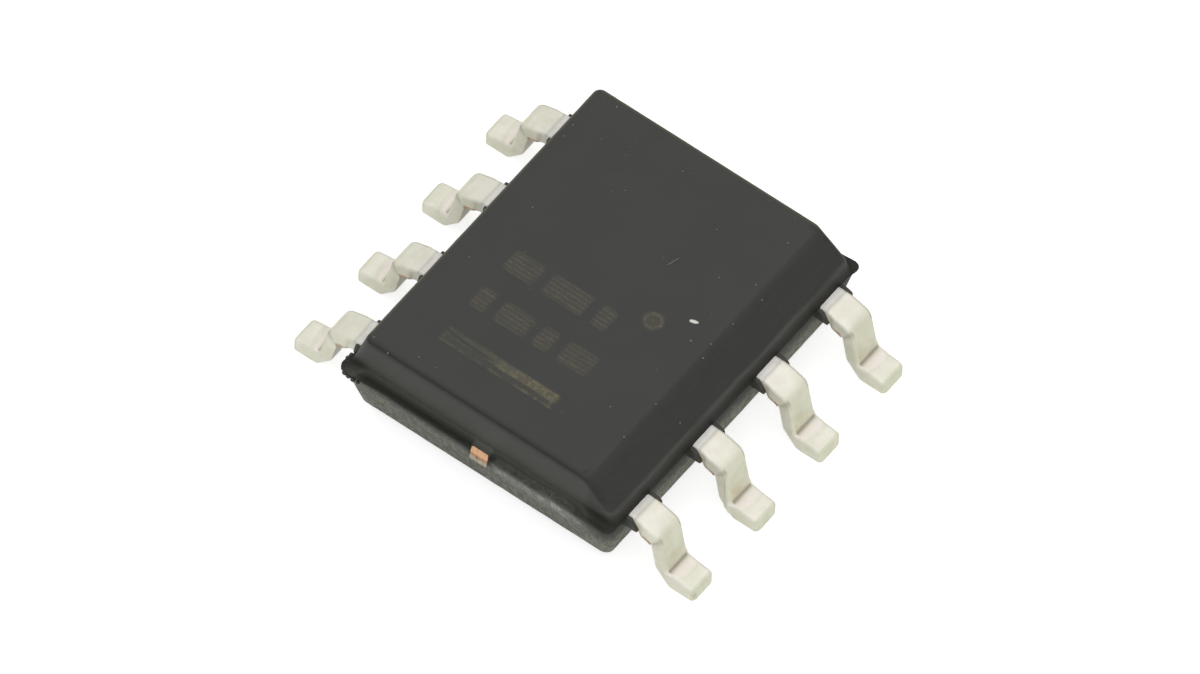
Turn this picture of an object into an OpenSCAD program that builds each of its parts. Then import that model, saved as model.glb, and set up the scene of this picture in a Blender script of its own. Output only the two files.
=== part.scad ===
// Eight-lead small-outline integrated circuit, narrow body, gull-wing leads.
// Millimetres. Z = 0 is the seating plane under the feet; the body stands above it.
// X runs along the two rows of leads, Y runs across them.
// Leads 1 to 4 are on the -Y side from -X to +X, under the long bevel;
// leads 5 to 8 are on the +Y side from +X back to -X.

/* [Body] */
// Length of the body over its two ends, at the rim of the lower half
body_len = 5.00; // [4.90:0.01:5.04]
// Width of the body over its two lead sides, at the rim of the lower half
body_wid = 4.00; // [3.96:0.01:4.04]
// Height of the top face above the seating plane
top_z = 1.545; // [1.50:0.005:1.70]
// Gap between the seating plane and the underside of the body
standoff = 0.18; // [0.10:0.01:0.25]
// Height of the parting plane, level with the top of the lead frame
part_z = 0.96; // [0.94:0.005:0.98]
// Length of the ledge that the lower half leaves at each end
end_ledge = 0.12; // [0.06:0.01:0.16]
// Ledge left along the side away from the bevel
side_ledge = 0.04; // [0.02:0.01:0.08]
// How far each end leans in from the parting plane to the top face
end_draft_top = 0.045; // [0.02:0.005:0.08]
// How far the side away from the bevel leans in up to the top face
side_draft_top = 0.17; // [0.08:0.01:0.20]
// How far each end leans in from the parting plane to the underside
end_draft_low = 0.205; // [0.10:0.005:0.25]
// How far each lead side leans in from the parting plane to the underside
side_draft_low = 0.135; // [0.08:0.005:0.18]
// Height of the bevel along the side of leads 1 to 4
bevel_h = 0.385; // [0.25:0.005:0.42]
// Width of that bevel, seen from above
bevel_w = 0.43; // [0.25:0.005:0.50]
// Lean of the short wall left under the bevel
bevel_wall_lean = 0.055; // [0.01:0.005:0.08]
// Corner radius of the upper half, seen from above
corner_top = 0.12; // [0.04:0.01:0.20]
// Corner radius of the lower half, seen from above
corner_low = 0.12; // [0.04:0.01:0.16]
// How far the moulding squeezes out beside each lead
nub_out = 0.13; // [0.06:0.01:0.15]
// Width of that squeezed-out nub along its foot
nub_w = 0.10; // [0.05:0.01:0.14]

/* [Leads] */
// Distance between neighbouring leads
pitch = 1.27; // [1.27]
// Width of each lead
lead_w = 0.41; // [0.36:0.01:0.46]
// Thickness of the lead frame strip
strip_t = 0.20; // [0.18:0.01:0.22]
// Overall span across the tips of the feet
tip_span = 6.00; // [5.90:0.02:6.20]
// Thickness of the foot at its tip
tip_t = 0.19; // [0.17:0.01:0.21]
// Thickness of the foot at the crease under the riser
heel_t = 0.262; // [0.24:0.002:0.28]
// Length of the cut ends left by the dam bar on each flank
dam_stub = 0.035; // [0.01:0.005:0.04]
// Width of the dam bar, measured along the lead
dam_w = 0.16; // [0.10:0.01:0.20]

/* [Inside] */
// Length of the die pad, along X
pad_len = 2.90; // [2.6:0.05:3.0]
// Width of the die pad, along Y
pad_wid = 2.20; // [2.0:0.05:2.3]
// How far the die pad is pressed down below the leads
downset = 0.20; // [0.10:0.01:0.24]
// Width of the tie bars that run to the ends of the body
tie_w = 0.26; // [0.20:0.01:0.32]
// Length of the silicon die, along X
die_len = 1.90; // [1.6:0.05:2.0]
// Width of the silicon die, along Y
die_wid = 1.60; // [1.5:0.05:1.7]
// Thickness of the silicon die
die_t = 0.28; // [0.20:0.01:0.30]
// Thickness of the adhesive under the die
glue_t = 0.025; // [0.015:0.005:0.04]
// Thickness of the bond wire
wire_d = 0.05; // [0.04:0.005:0.06]
// Height that a wire loops above the die
loop_h = 0.20; // [0.14:0.01:0.24]

/* [Hidden] */

arc_n = 6;                          // flats in each rounded corner of a profile
ring_n = 8;                         // sides of a bond wire
strip_z = part_z - strip_t;         // underside of the lead frame strip
pad_top = part_z - downset;         // top of the pressed-down die pad
die_z = pad_top + glue_t;           // underside of the die
die_top = die_z + die_t;            // face of the die that carries the bonds
half_len = body_len / 2;
half_wid = body_wid / 2;
tip = tip_span / 2;
shear = 0.045;                      // how far the top of a cut tie bar sits back from its bottom

// ---- helpers -------------------------------------------------------------

function dirv(a, b) = (b - a) / norm(b - a);

// Corner [x, y, r] of a closed outline, rounded with radius r in arc_n flats.
function rounded(c) = let (n = len(c)) [
    for (i = [0 : n - 1])
        let (p = c[(i + n - 1) % n], q = c[i], s = c[(i + 1) % n],
             o = [q[0], q[1]], u = dirv(o, [p[0], p[1]]), v = dirv(o, [s[0], s[1]]),
             r = q[2])
        each r <= 0 ? [o] :
            let (half = acos(max(-1, min(1, u * v))) / 2,
                 t = r / tan(half),
                 m = o + (u + v) / norm(u + v) * (r / sin(half)),
                 a = o + u * t - m, b = o + v * t - m,
                 a1 = atan2(a[1], a[0]),
                 turn = atan2(a[0] * b[1] - a[1] * b[0], a * b))
            [for (k = [0 : arc_n]) m + r * [cos(a1 + turn * k / arc_n), sin(a1 + turn * k / arc_n)]]
];

// X of lead i, and the side of the body it leaves from (-1 or +1 along Y).
function lead_x(i) = i <= 4 ? (i - 2.5) * pitch : (6.5 - i) * pitch;
function lead_side(i) = i <= 4 ? -1 : 1;
function is_corner(i) = abs(lead_x(i)) > pitch;

// Puts a shape drawn for "distance from the middle = +Y, towards the middle lead = +X" at lead i.
module at_lead(i) {
    translate([lead_x(i), 0, 0])
        mirror([lead_x(i) > 0 ? 1 : 0, 0, 0])
            mirror([0, lead_side(i) < 0 ? 1 : 0, 0])
                children();
}

// Draws a Y-Z outline and gives it a width along X, centred on X = 0.
module across(w) {
    rotate([90, 0, 90]) translate([0, 0, -w / 2]) linear_extrude(height = w) children();
}

// Draws an X-Z outline and gives it a width along Y, centred on Y = 0.
module along(w) {
    rotate([90, 0, 0]) translate([0, 0, -w / 2]) linear_extrude(height = w) children();
}

// ---- lead frame ------------------------------------------------------------

// Side view of a gull-wing lead outside the body: [distance, height, corner radius].
function wing() = rounded([
    [1.80, part_z, 0],
    [2.17, part_z, 0.15],
    [2.485, part_z - 0.118, 0.05],
    [2.610, heel_t, 0.03],
    [tip, tip_t, 0.05],
    [tip, 0, 0.03],
    [2.640, 0, 0.10],
    [2.420, 0.26, 0.14],
    [2.335, strip_z - 0.075, 0.06],
    [2.13, strip_z, 0.16],
    [1.80, strip_z, 0]
]);

// Plan of the finger inside the body, with a locking notch in each flank.
function corner_finger() = let (b = lead_w / 2) [
    [-b, 1.95], [-b, 1.74], [-b + 0.07, 1.74], [-b + 0.07, 1.62], [-0.25, 1.62], [-0.25, 0.50], [-0.17, 0.42],
    [0.17, 0.42], [0.25, 0.50], [0.25, 1.62], [b - 0.07, 1.62], [b - 0.07, 1.74], [b, 1.74], [b, 1.95]
];
function middle_finger() = let (b = lead_w / 2) [
    [-b, 1.95], [-b, 1.74], [-b + 0.07, 1.74], [-b + 0.07, 1.62], [-0.32, 1.62], [-0.40, 1.54], [-0.40, 1.32],
    [0.40, 1.32], [0.40, 1.54], [0.32, 1.62], [b - 0.07, 1.62], [b - 0.07, 1.74], [b, 1.74], [b, 1.95]
];

module lead_solid(i) {
    at_lead(i) {
        across(lead_w) polygon(wing());
        translate([0, 0, strip_z]) linear_extrude(height = strip_t)
            polygon(is_corner(i) ? corner_finger() : middle_finger());
        intersection() {
            across(lead_w + 2 * dam_stub) polygon(wing());
            translate([-1, 2.28 - dam_w / 2, 0]) cube([2, dam_w, 2]);
        }
    }
}

// Die pad with a tie bar at each end; the bars step up to the level of the leads.
module die_pad_solid() {
    translate([-pad_len / 2, -pad_wid / 2, pad_top - strip_t]) cube([pad_len, pad_wid, strip_t]);
    for (s = [0, 1]) mirror([s, 0, 0])
        along(tie_w) polygon([
            [pad_len / 2 - 0.20, pad_top], [1.72, pad_top], [1.96, part_z], [half_len - shear, part_z],
            [half_len, part_z - 0.07], [half_len, strip_z], [1.99, strip_z], [1.75, pad_top - strip_t],
            [pad_len / 2 - 0.20, pad_top - strip_t]
        ]);
}

// ---- die and wires ---------------------------------------------------------

module die_attach_solid() {
    translate([0, 0, pad_top]) linear_extrude(height = glue_t)
        polygon(rounded([for (c = [[-1, -1], [1, -1], [1, 1], [-1, 1]])
            [c[0] * (die_len / 2 + 0.06), c[1] * (die_wid / 2 + 0.06), 0.10]]));
}

module die_solid() {
    translate([-die_len / 2, -die_wid / 2, die_z]) cube([die_len, die_wid, die_t]);
}

// Where a wire starts on the die and ends on its finger, in the frame of at_lead().
function bond_from(i) = is_corner(i) ? [abs(lead_x(i)) - 0.76, 0.40] : [abs(lead_x(i)) - 0.38, 0.62];
function bond_to(i) = is_corner(i) ? [0.02, 0.74] : [0.02, 1.44];

function bez(p, t) = pow(1 - t, 3) * p[0] + 3 * pow(1 - t, 2) * t * p[1] + 3 * (1 - t) * t * t * p[2] + pow(t, 3) * p[3];
function bez_dir(p, t) = let (d = 3 * pow(1 - t, 2) * (p[1] - p[0]) + 6 * (1 - t) * t * (p[2] - p[1]) + 3 * t * t * (p[3] - p[2])) d / norm(d);

// Squashed ball on the die, as [height above the die, radius].
ball = [[0, 1.6], [0.012, 2.2], [0.034, 2.3], [0.050, 1.7], [0.062, 1.0]];
loop_steps = 12;

// The wire in its own upright plane: rings of [along, height, tilt of the ring, radius].
function wire_rings(run) = let (
        r = wire_d / 2, z0 = die_top + 0.062,
        p = [[0, z0], [0, die_top + loop_h * 1.35], [run * 0.30, die_top + loop_h * 1.30], [run, part_z + r * 0.25]])
    concat(
        [for (b = ball) [0, die_top + b[0], 90, r * b[1]]],
        [for (k = [1 : loop_steps]) let (t = k / loop_steps, c = bez(p, t), d = bez_dir(p, t)) [c[0], c[1], atan2(d[1], d[0]), r]],
        [[run + 0.06, part_z + r * 0.25 - 0.012, -8, r]]
    );

module wire_solid(i) {
    a = bond_from(i);
    b = bond_to(i);
    run = norm(b - a);
    rings = wire_rings(run);
    n = len(rings);
    pts = [for (g = rings, k = [0 : ring_n - 1]) let (w = 360 * (k + 0.5) / ring_n)
        [g[0] - sin(g[2]) * g[3] * cos(w), g[3] * sin(w), g[1] + cos(g[2]) * g[3] * cos(w)]];
    faces = concat(
        [[for (k = [ring_n - 1 : -1 : 0]) k]],
        [for (j = [0 : n - 2], k = [0 : ring_n - 1]) let (m = (k + 1) % ring_n)
            [j * ring_n + k, j * ring_n + m, (j + 1) * ring_n + m, (j + 1) * ring_n + k]],
        [[for (k = [0 : ring_n - 1]) (n - 1) * ring_n + k]]
    );
    at_lead(i) difference() {
        translate([a[0], a[1], 0]) rotate([0, 0, atan2(b[1] - a[1], b[0] - a[0])])
            polyhedron(points = pts, faces = faces);
        translate([b[0] - 0.5, b[1] - 0.5, part_z - 0.2]) cube([1, 1, 0.2]);
    }
}

// ---- moulded body ----------------------------------------------------------

// End-on outline of the body: bevel over the -Y side, plain draft over the +Y side.
function side_outline() = let (lip = half_wid - 0.005) [
    [-half_wid, part_z], [-lip, part_z], [-lip + bevel_wall_lean, top_z - bevel_h],
    [-lip + bevel_wall_lean + bevel_w, top_z],
    [half_wid - side_ledge - side_draft_top, top_z], [half_wid - side_ledge, part_z], [half_wid, part_z],
    [half_wid - side_draft_low, standoff], [-(half_wid - side_draft_low), standoff]
];

// Outline seen along Y: both halves lean in, with a ledge at the parting plane.
function end_outline() = let (e = half_len - end_ledge) [
    [-half_len, part_z], [-e, part_z], [-(e - end_draft_top), top_z], [e - end_draft_top, top_z],
    [e, part_z], [half_len, part_z], [half_len - end_draft_low, standoff], [-(half_len - end_draft_low), standoff]
];

// Plan of a half with rounded corners, reaching x along X and from y0 to y1 along Y.
module plan(x, y0, y1, r) {
    polygon(rounded([[-x, y0, r], [x, y0, r], [x, y1, r], [-x, y1, r]]));
}

module moulding() {
    intersection() {
        across(body_len + 1) polygon(side_outline());
        along(body_wid + 1) polygon(end_outline());
        union() {
            translate([0, 0, standoff - 0.1]) linear_extrude(height = top_z - standoff + 0.2)
                plan(half_len - end_ledge, -half_wid + 0.005, half_wid - side_ledge, corner_top);
            translate([0, 0, standoff - 0.1]) linear_extrude(height = part_z - standoff + 0.1)
                plan(half_len, -half_wid, half_wid, corner_low);
        }
    }
}

// Moulding compound squeezed out beside a lead, up to where the dam bar was.
module nub() {
    b = lead_w / 2;
    translate([0, 0, strip_z + 0.02]) linear_extrude(height = strip_t - 0.02)
        for (s = [-1, 1])
            polygon([[s * b, 1.85], [s * b, half_wid + nub_out], [s * (b + nub_w * 0.45), half_wid + nub_out - 0.02],
                     [s * (b + nub_w), half_wid - 0.01], [s * (b + nub_w), 1.85]]);
}

module mould_body() {
    color([0.24, 0.24, 0.23]) difference() {
        union() {
            moulding();
            for (i = [1 : 8]) at_lead(i) nub();
        }
        for (i = [1 : 8]) lead_solid(i);
        die_pad_solid();
        // the rim is open over the sheared end of each tie bar
        for (s = [0, 1]) mirror([s, 0, 0]) along(tie_w) polygon([
            [half_len - shear, part_z + 0.05], [half_len - shear, part_z], [half_len, part_z - 0.07],
            [half_len, strip_z + 0.03], [half_len + 0.1, strip_z + 0.03], [half_len + 0.1, part_z + 0.05]
        ]);
        die_attach_solid();
        die_solid();
        for (i = [1 : 8]) wire_solid(i);
    }
}

// ---- one module per piece ----------------------------------------------------

tin = [0.86, 0.85, 0.78];
copper = [0.80, 0.55, 0.36];
gold = [0.90, 0.72, 0.30];

module lead_1() { color(tin) lead_solid(1); }
module lead_2() { color(tin) lead_solid(2); }
module lead_3() { color(tin) lead_solid(3); }
module lead_4() { color(tin) lead_solid(4); }
module lead_5() { color(tin) lead_solid(5); }
module lead_6() { color(tin) lead_solid(6); }
module lead_7() { color(tin) lead_solid(7); }
module lead_8() { color(tin) lead_solid(8); }
module die_pad() { color(copper) die_pad_solid(); }
module die_attach() { color([0.62, 0.62, 0.60]) die_attach_solid(); }
module die() { color([0.35, 0.38, 0.42]) die_solid(); }
module bond_wire_1() { color(gold) wire_solid(1); }
module bond_wire_2() { color(gold) wire_solid(2); }
module bond_wire_3() { color(gold) wire_solid(3); }
module bond_wire_4() { color(gold) wire_solid(4); }
module bond_wire_5() { color(gold) wire_solid(5); }
module bond_wire_6() { color(gold) wire_solid(6); }
module bond_wire_7() { color(gold) wire_solid(7); }
module bond_wire_8() { color(gold) wire_solid(8); }

mould_body();
lead_1();
lead_2();
lead_3();
lead_4();
lead_5();
lead_6();
lead_7();
lead_8();
die_pad();
die_attach();
die();
bond_wire_1();
bond_wire_2();
bond_wire_3();
bond_wire_4();
bond_wire_5();
bond_wire_6();
bond_wire_7();
bond_wire_8();
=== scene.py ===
import bpy
import math
import numpy as np
from mathutils import Matrix, Vector


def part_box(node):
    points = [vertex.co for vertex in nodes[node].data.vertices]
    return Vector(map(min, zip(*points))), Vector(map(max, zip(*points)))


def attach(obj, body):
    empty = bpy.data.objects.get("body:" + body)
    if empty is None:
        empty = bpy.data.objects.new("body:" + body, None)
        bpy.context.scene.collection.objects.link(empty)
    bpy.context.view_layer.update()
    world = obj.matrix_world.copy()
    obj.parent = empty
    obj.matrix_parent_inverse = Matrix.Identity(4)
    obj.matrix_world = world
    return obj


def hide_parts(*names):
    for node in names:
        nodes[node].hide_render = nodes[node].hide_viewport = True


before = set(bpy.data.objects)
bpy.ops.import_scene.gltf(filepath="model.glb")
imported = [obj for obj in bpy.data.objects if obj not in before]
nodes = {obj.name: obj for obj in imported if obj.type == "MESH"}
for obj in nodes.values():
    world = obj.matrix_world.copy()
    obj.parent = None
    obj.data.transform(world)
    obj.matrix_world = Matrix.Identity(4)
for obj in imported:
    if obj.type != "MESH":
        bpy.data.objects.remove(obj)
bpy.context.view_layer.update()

MM = 0.001


def box_mm(name):
    lo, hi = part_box(name)
    return np.array(lo) / MM, np.array(hi) / MM


# ---------------------------------------------------------------------------
# sizes that come from the frame
# ---------------------------------------------------------------------------
BODY_LO, BODY_HI = box_mm("mould_body")
LEAD = {i: box_mm("lead_%d" % i) for i in range(1, 9)}
PAD_LO, PAD_HI = box_mm("die_pad")
TOP_Z = float(BODY_HI[2])                      # 1.545
LOW_Z = float(BODY_LO[2])                      # 0.18
PART_Z = float(LEAD[1][1][2])                  # 0.96, top of the lead frame
STRIP_T = 0.20
STRIP_Z = PART_Z - STRIP_T
HALF_L = float(BODY_HI[0])                     # 2.50
HALF_W = 2.00                                  # the box in Y also holds the resin nubs
TIP = float(LEAD[5][1][1])                     # 3.00
LEAD_W = 0.41
TIE_HALF = 0.125
TIE_Y = -0.045


# ---------------------------------------------------------------------------
# numpy noise, seeded by fixed integers
# ---------------------------------------------------------------------------
def _hash(ix, iy, iz, seed):
    h = (ix * 374761393 + iy * 668265263 + iz * 2147483647 + seed * 1274126177) & 0xFFFFFFFF
    h = ((h ^ (h >> 13)) * 1274126177) & 0xFFFFFFFF
    h = ((h ^ (h >> 16)) * 2246822519) & 0xFFFFFFFF
    return ((h ^ (h >> 15)) & 0xFFFFFF) / float(0xFFFFFF) * 2.0 - 1.0


def noise3(p, scale, seed=0):
    """Smooth value noise in -1..1 at points p (n, 3); scale is the size of a cell in mm."""
    q = np.asarray(p, float) / scale
    i = np.floor(q).astype(np.int64)
    f = q - i
    f = f * f * f * (f * (f * 6 - 15) + 10)
    out = np.zeros(len(q))
    for dx in (0, 1):
        wx = f[:, 0] if dx else 1 - f[:, 0]
        for dy in (0, 1):
            wy = f[:, 1] if dy else 1 - f[:, 1]
            for dz in (0, 1):
                wz = f[:, 2] if dz else 1 - f[:, 2]
                out += wx * wy * wz * _hash(i[:, 0] + dx, i[:, 1] + dy, i[:, 2] + dz, seed)
    return out


def fbm(p, scale, seed=0, octaves=3, gain=0.5):
    out, amp, tot = np.zeros(len(p)), 1.0, 0.0
    for k in range(octaves):
        out += amp * noise3(p, scale / (2.0 ** k), seed + 17 * k)
        tot += amp
        amp *= gain
    return out / tot


def smooth(a, b, x):
    t = np.clip((x - a) / (b - a), 0.0, 1.0)
    return t * t * (3 - 2 * t)


def bump1(x, c, w):
    return np.exp(-((x - c) / w) ** 2)


# ---------------------------------------------------------------------------
# mesh helpers
# ---------------------------------------------------------------------------
def make_object(name, verts_mm, faces, smooth_shade=True, attrs=None, mats=None, mat_index=None):
    mesh = bpy.data.meshes.new(name)
    v = np.asarray(verts_mm, float) * MM
    mesh.from_pydata([tuple(p) for p in v], [], [tuple(int(i) for i in f) for f in faces])
    mesh.validate(clean_customdata=False)
    if smooth_shade:
        mesh.polygons.foreach_set("use_smooth", [True] * len(mesh.polygons))
    if attrs:
        for key, val in attrs.items():
            a = mesh.attributes.new(key, "FLOAT", "POINT")
            a.data.foreach_set("value", np.asarray(val, np.float32))
    for m in (mats or []):
        mesh.materials.append(m)
    if mat_index is not None:
        mesh.polygons.foreach_set("material_index", np.asarray(mat_index, np.int32))
    mesh.update()
    o = bpy.data.objects.new(name, mesh)
    bpy.context.scene.collection.objects.link(o)
    return o


def rounded_poly(pts, n_default=6):
    """Open polyline [(u, z, r)], corners rounded with arcs; returns a dense array."""
    out = [np.array(pts[0][:2], float)]
    for k in range(1, len(pts) - 1):
        p, q, s = (np.array(pts[j][:2], float) for j in (k - 1, k, k + 1))
        r = pts[k][2]
        n = pts[k][3] if len(pts[k]) > 3 else n_default
        u, v = p - q, s - q
        lu, lv = np.linalg.norm(u), np.linalg.norm(v)
        u, v = u / lu, v / lv
        half = math.acos(max(-1, min(1, float(u @ v)))) / 2
        if r <= 0:
            out.append(q)
            continue
        t = min(r / math.tan(half), lu * 0.49, lv * 0.49)
        r = t * math.tan(half)
        m = q + (u + v) / np.linalg.norm(u + v) * (r / math.sin(half))
        a, b = q + u * t - m, q + v * t - m
        a1 = math.atan2(a[1], a[0])
        turn = math.atan2(a[0] * b[1] - a[1] * b[0], float(a @ b))
        for j in range(n + 1):
            w = a1 + turn * j / n
            out.append(m + r * np.array([math.cos(w), math.sin(w)]))
    out.append(np.array(pts[-1][:2], float))
    return np.array(out)


def arclen(p):
    return np.concatenate([[0], np.cumsum(np.linalg.norm(np.diff(p, axis=0), axis=1))])


def graded(lo, hi, base, fine):
    """Positions from lo to hi with spacing base, finer inside the listed (a, b, step) stretches."""
    marks = sorted({lo, hi} | {v for a, b, _ in fine for v in (a, b) if lo < v < hi})
    out = [lo]
    for a, b in zip(marks[:-1], marks[1:]):
        mid = (a + b) / 2
        step = min([base] + [s for fa, fb, s in fine if fa <= mid <= fb])
        n = max(1, int(round((b - a) / step)))
        out += list(a + (b - a) * (np.arange(n) + 1) / n)
    out = np.array(out)
    if len(out) % 2 == 0:                                   # an even number of steps
        k = int(np.argmax(np.diff(out)))
        out = np.insert(out, k + 1, (out[k] + out[k + 1]) / 2)
    return out


# ---------------------------------------------------------------------------
# the plain marks on the top face: a bar, a ring with a dot, two rows of hatched fields
# ---------------------------------------------------------------------------
BAR = (-1.80, -1.56, -0.56, 1.10)              # x0, x1, y0, y1
RING = (-0.01, -0.78, 0.115)                   # x, y, r
FIELDS = [                                      # x0, x1, y0, y1 of each hatched field
    (-1.17, -0.85, -0.62, -0.18), (-1.17, -0.85, -0.04, 0.18), (-1.17, -0.85, 0.32, 0.76), (-1.17, -0.85, 0.90, 1.12),
    (-0.50, -0.18, -0.40, -0.18), (-0.50, -0.18, -0.04, 0.54), (-0.50, -0.18, 0.68, 1.12),
]


def field_mask(x, y, f, r=0.05, edge=0.012):
    x0, x1, y0, y1 = f
    cx, cy, hx, hy = (x0 + x1) / 2, (y0 + y1) / 2, (x1 - x0) / 2 - r, (y1 - y0) / 2 - r
    qx, qy = np.abs(x - cx) - hx, np.abs(y - cy) - hy
    d = np.hypot(np.maximum(qx, 0), np.maximum(qy, 0)) + np.minimum(np.maximum(qx, qy), 0) - r
    return 1 - smooth(-edge, edge, d), d


def marks_at(x, y):
    """(strength of the laser mark, depth in mm) at points on the top face."""
    p = np.stack([x, y, np.zeros_like(x)], 1)
    strength = np.zeros_like(x)
    depth = np.zeros_like(x)
    # the orientation bar: a grainy band along its +X half, a dotted row along its -X edge, a scorched line
    m, d = field_mask(x, y, BAR, r=0.02)
    u = (x - BAR[0]) / (BAR[1] - BAR[0])
    grit = 0.5 + 0.5 * noise3(p * [1.3, 1, 1], 0.030, 11)
    patch = 0.5 + 0.5 * noise3(p, 0.085, 13)
    slow = 0.5 + 0.5 * noise3(p * [0.6, 1, 1], 0.30, 14)
    wob = 0.05 * noise3(p * [0.0, 1, 1], 0.20, 16)
    main = smooth(0.36, 0.52, u + wob) * smooth(1.02, 0.92, u + 0.4 * wob)
    near_end = 0.34 + 0.66 * smooth(0.62, 0.10, y)
    s = m * main * near_end * (0.30 + 0.55 * grit + 0.35 * patch) * (0.70 + 0.45 * slow)
    row = bump1(u + 0.6 * wob, 0.09, 0.085) * smooth(0.30, 0.62, 0.5 * grit + 0.5 * patch)
    s = np.maximum(s, m * 0.62 * row * (0.55 + 0.45 * smooth(0.9, -0.3, y)))
    ends = np.maximum(bump1(y, BAR[2] + 0.03, 0.030), 0.6 * bump1(y, BAR[3] - 0.03, 0.035))
    s = np.maximum(s, m * 0.60 * ends * (0.4 + 0.6 * grit))
    s = np.maximum(s, m * 0.09)
    line = (x - (-1.622 - 0.030 * smooth(1.1, 0.4, y) - 0.012 * noise3(p * [0, 1, 1], 0.12, 17))) / 0.013
    scorch = np.exp(-line ** 2) * smooth(0.30, 0.62, y) * smooth(1.12, 1.05, y) * (0.55 + 0.45 * patch)
    s = s * (1 - scorch) - 0.9 * scorch
    strength = np.where(m > 0.01, s, strength)
    depth += m * 0.0030 + np.clip(s, 0, 1) * 0.003 + 0.004 * scorch
    # ring with a dot
    rr = np.hypot(x - RING[0], y - RING[1])
    a = np.arctan2(y - RING[1], x - RING[0])
    s = bump1(rr, RING[2] - 0.006, 0.026) * (0.86 + 0.14 * np.sin(a + 2.2)) * (0.78 + 0.30 * noise3(p, 0.045, 15)) + 0.40 * bump1(rr, 0, 0.026) + 0.30 * smooth(0.13, 0.10, rr)
    strength = np.maximum(strength, 0.52 * s)
    depth += 0.004 * np.clip(s, 0, 1)
    # hatched fields in two rows
    for k, f in enumerate(FIELDS):
        m, d = field_mask(x, y, f, r=0.045)
        jit = 0.010 * noise3(p * [0.2, 1, 1], 0.30, 31 + k)
        stroke = 0.5 + 0.5 * np.cos(2 * math.pi * (x + jit - f[0]) / 0.064)
        along = 0.5 + 0.5 * noise3(p * [2.0, 1, 1], 0.14, 51 + k)
        s = m * (0.16 + 0.62 * stroke * (0.35 + 0.65 * along))
        strength = np.maximum(strength, 0.60 * s)
        depth += 0.0035 * s
    return strength, depth


# ---------------------------------------------------------------------------
# moulded body
# ---------------------------------------------------------------------------
TOP_X = HALF_L - 0.12 - 0.045                  # 2.335, half-length of the top face
WALL_X = HALF_L - 0.12                         # 2.38, foot of the upper end wall
LOW_X = HALF_L - 0.205                         # 2.295, half-length of the underside
LIP_Y = HALF_W - 0.005
BEV_Y, BEV_Z = -LIP_Y + 0.055, TOP_Z - 0.385   # lower edge of the bevel
TOP_YN = BEV_Y + 0.43                          # -1.51, edge of the top face over the bevel
TOP_YP = HALF_W - 0.04 - 0.17                  # 1.79
WALL_YP = HALF_W - 0.04                        # 1.96
LOW_Y = HALF_W - 0.135                         # 1.865


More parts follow.
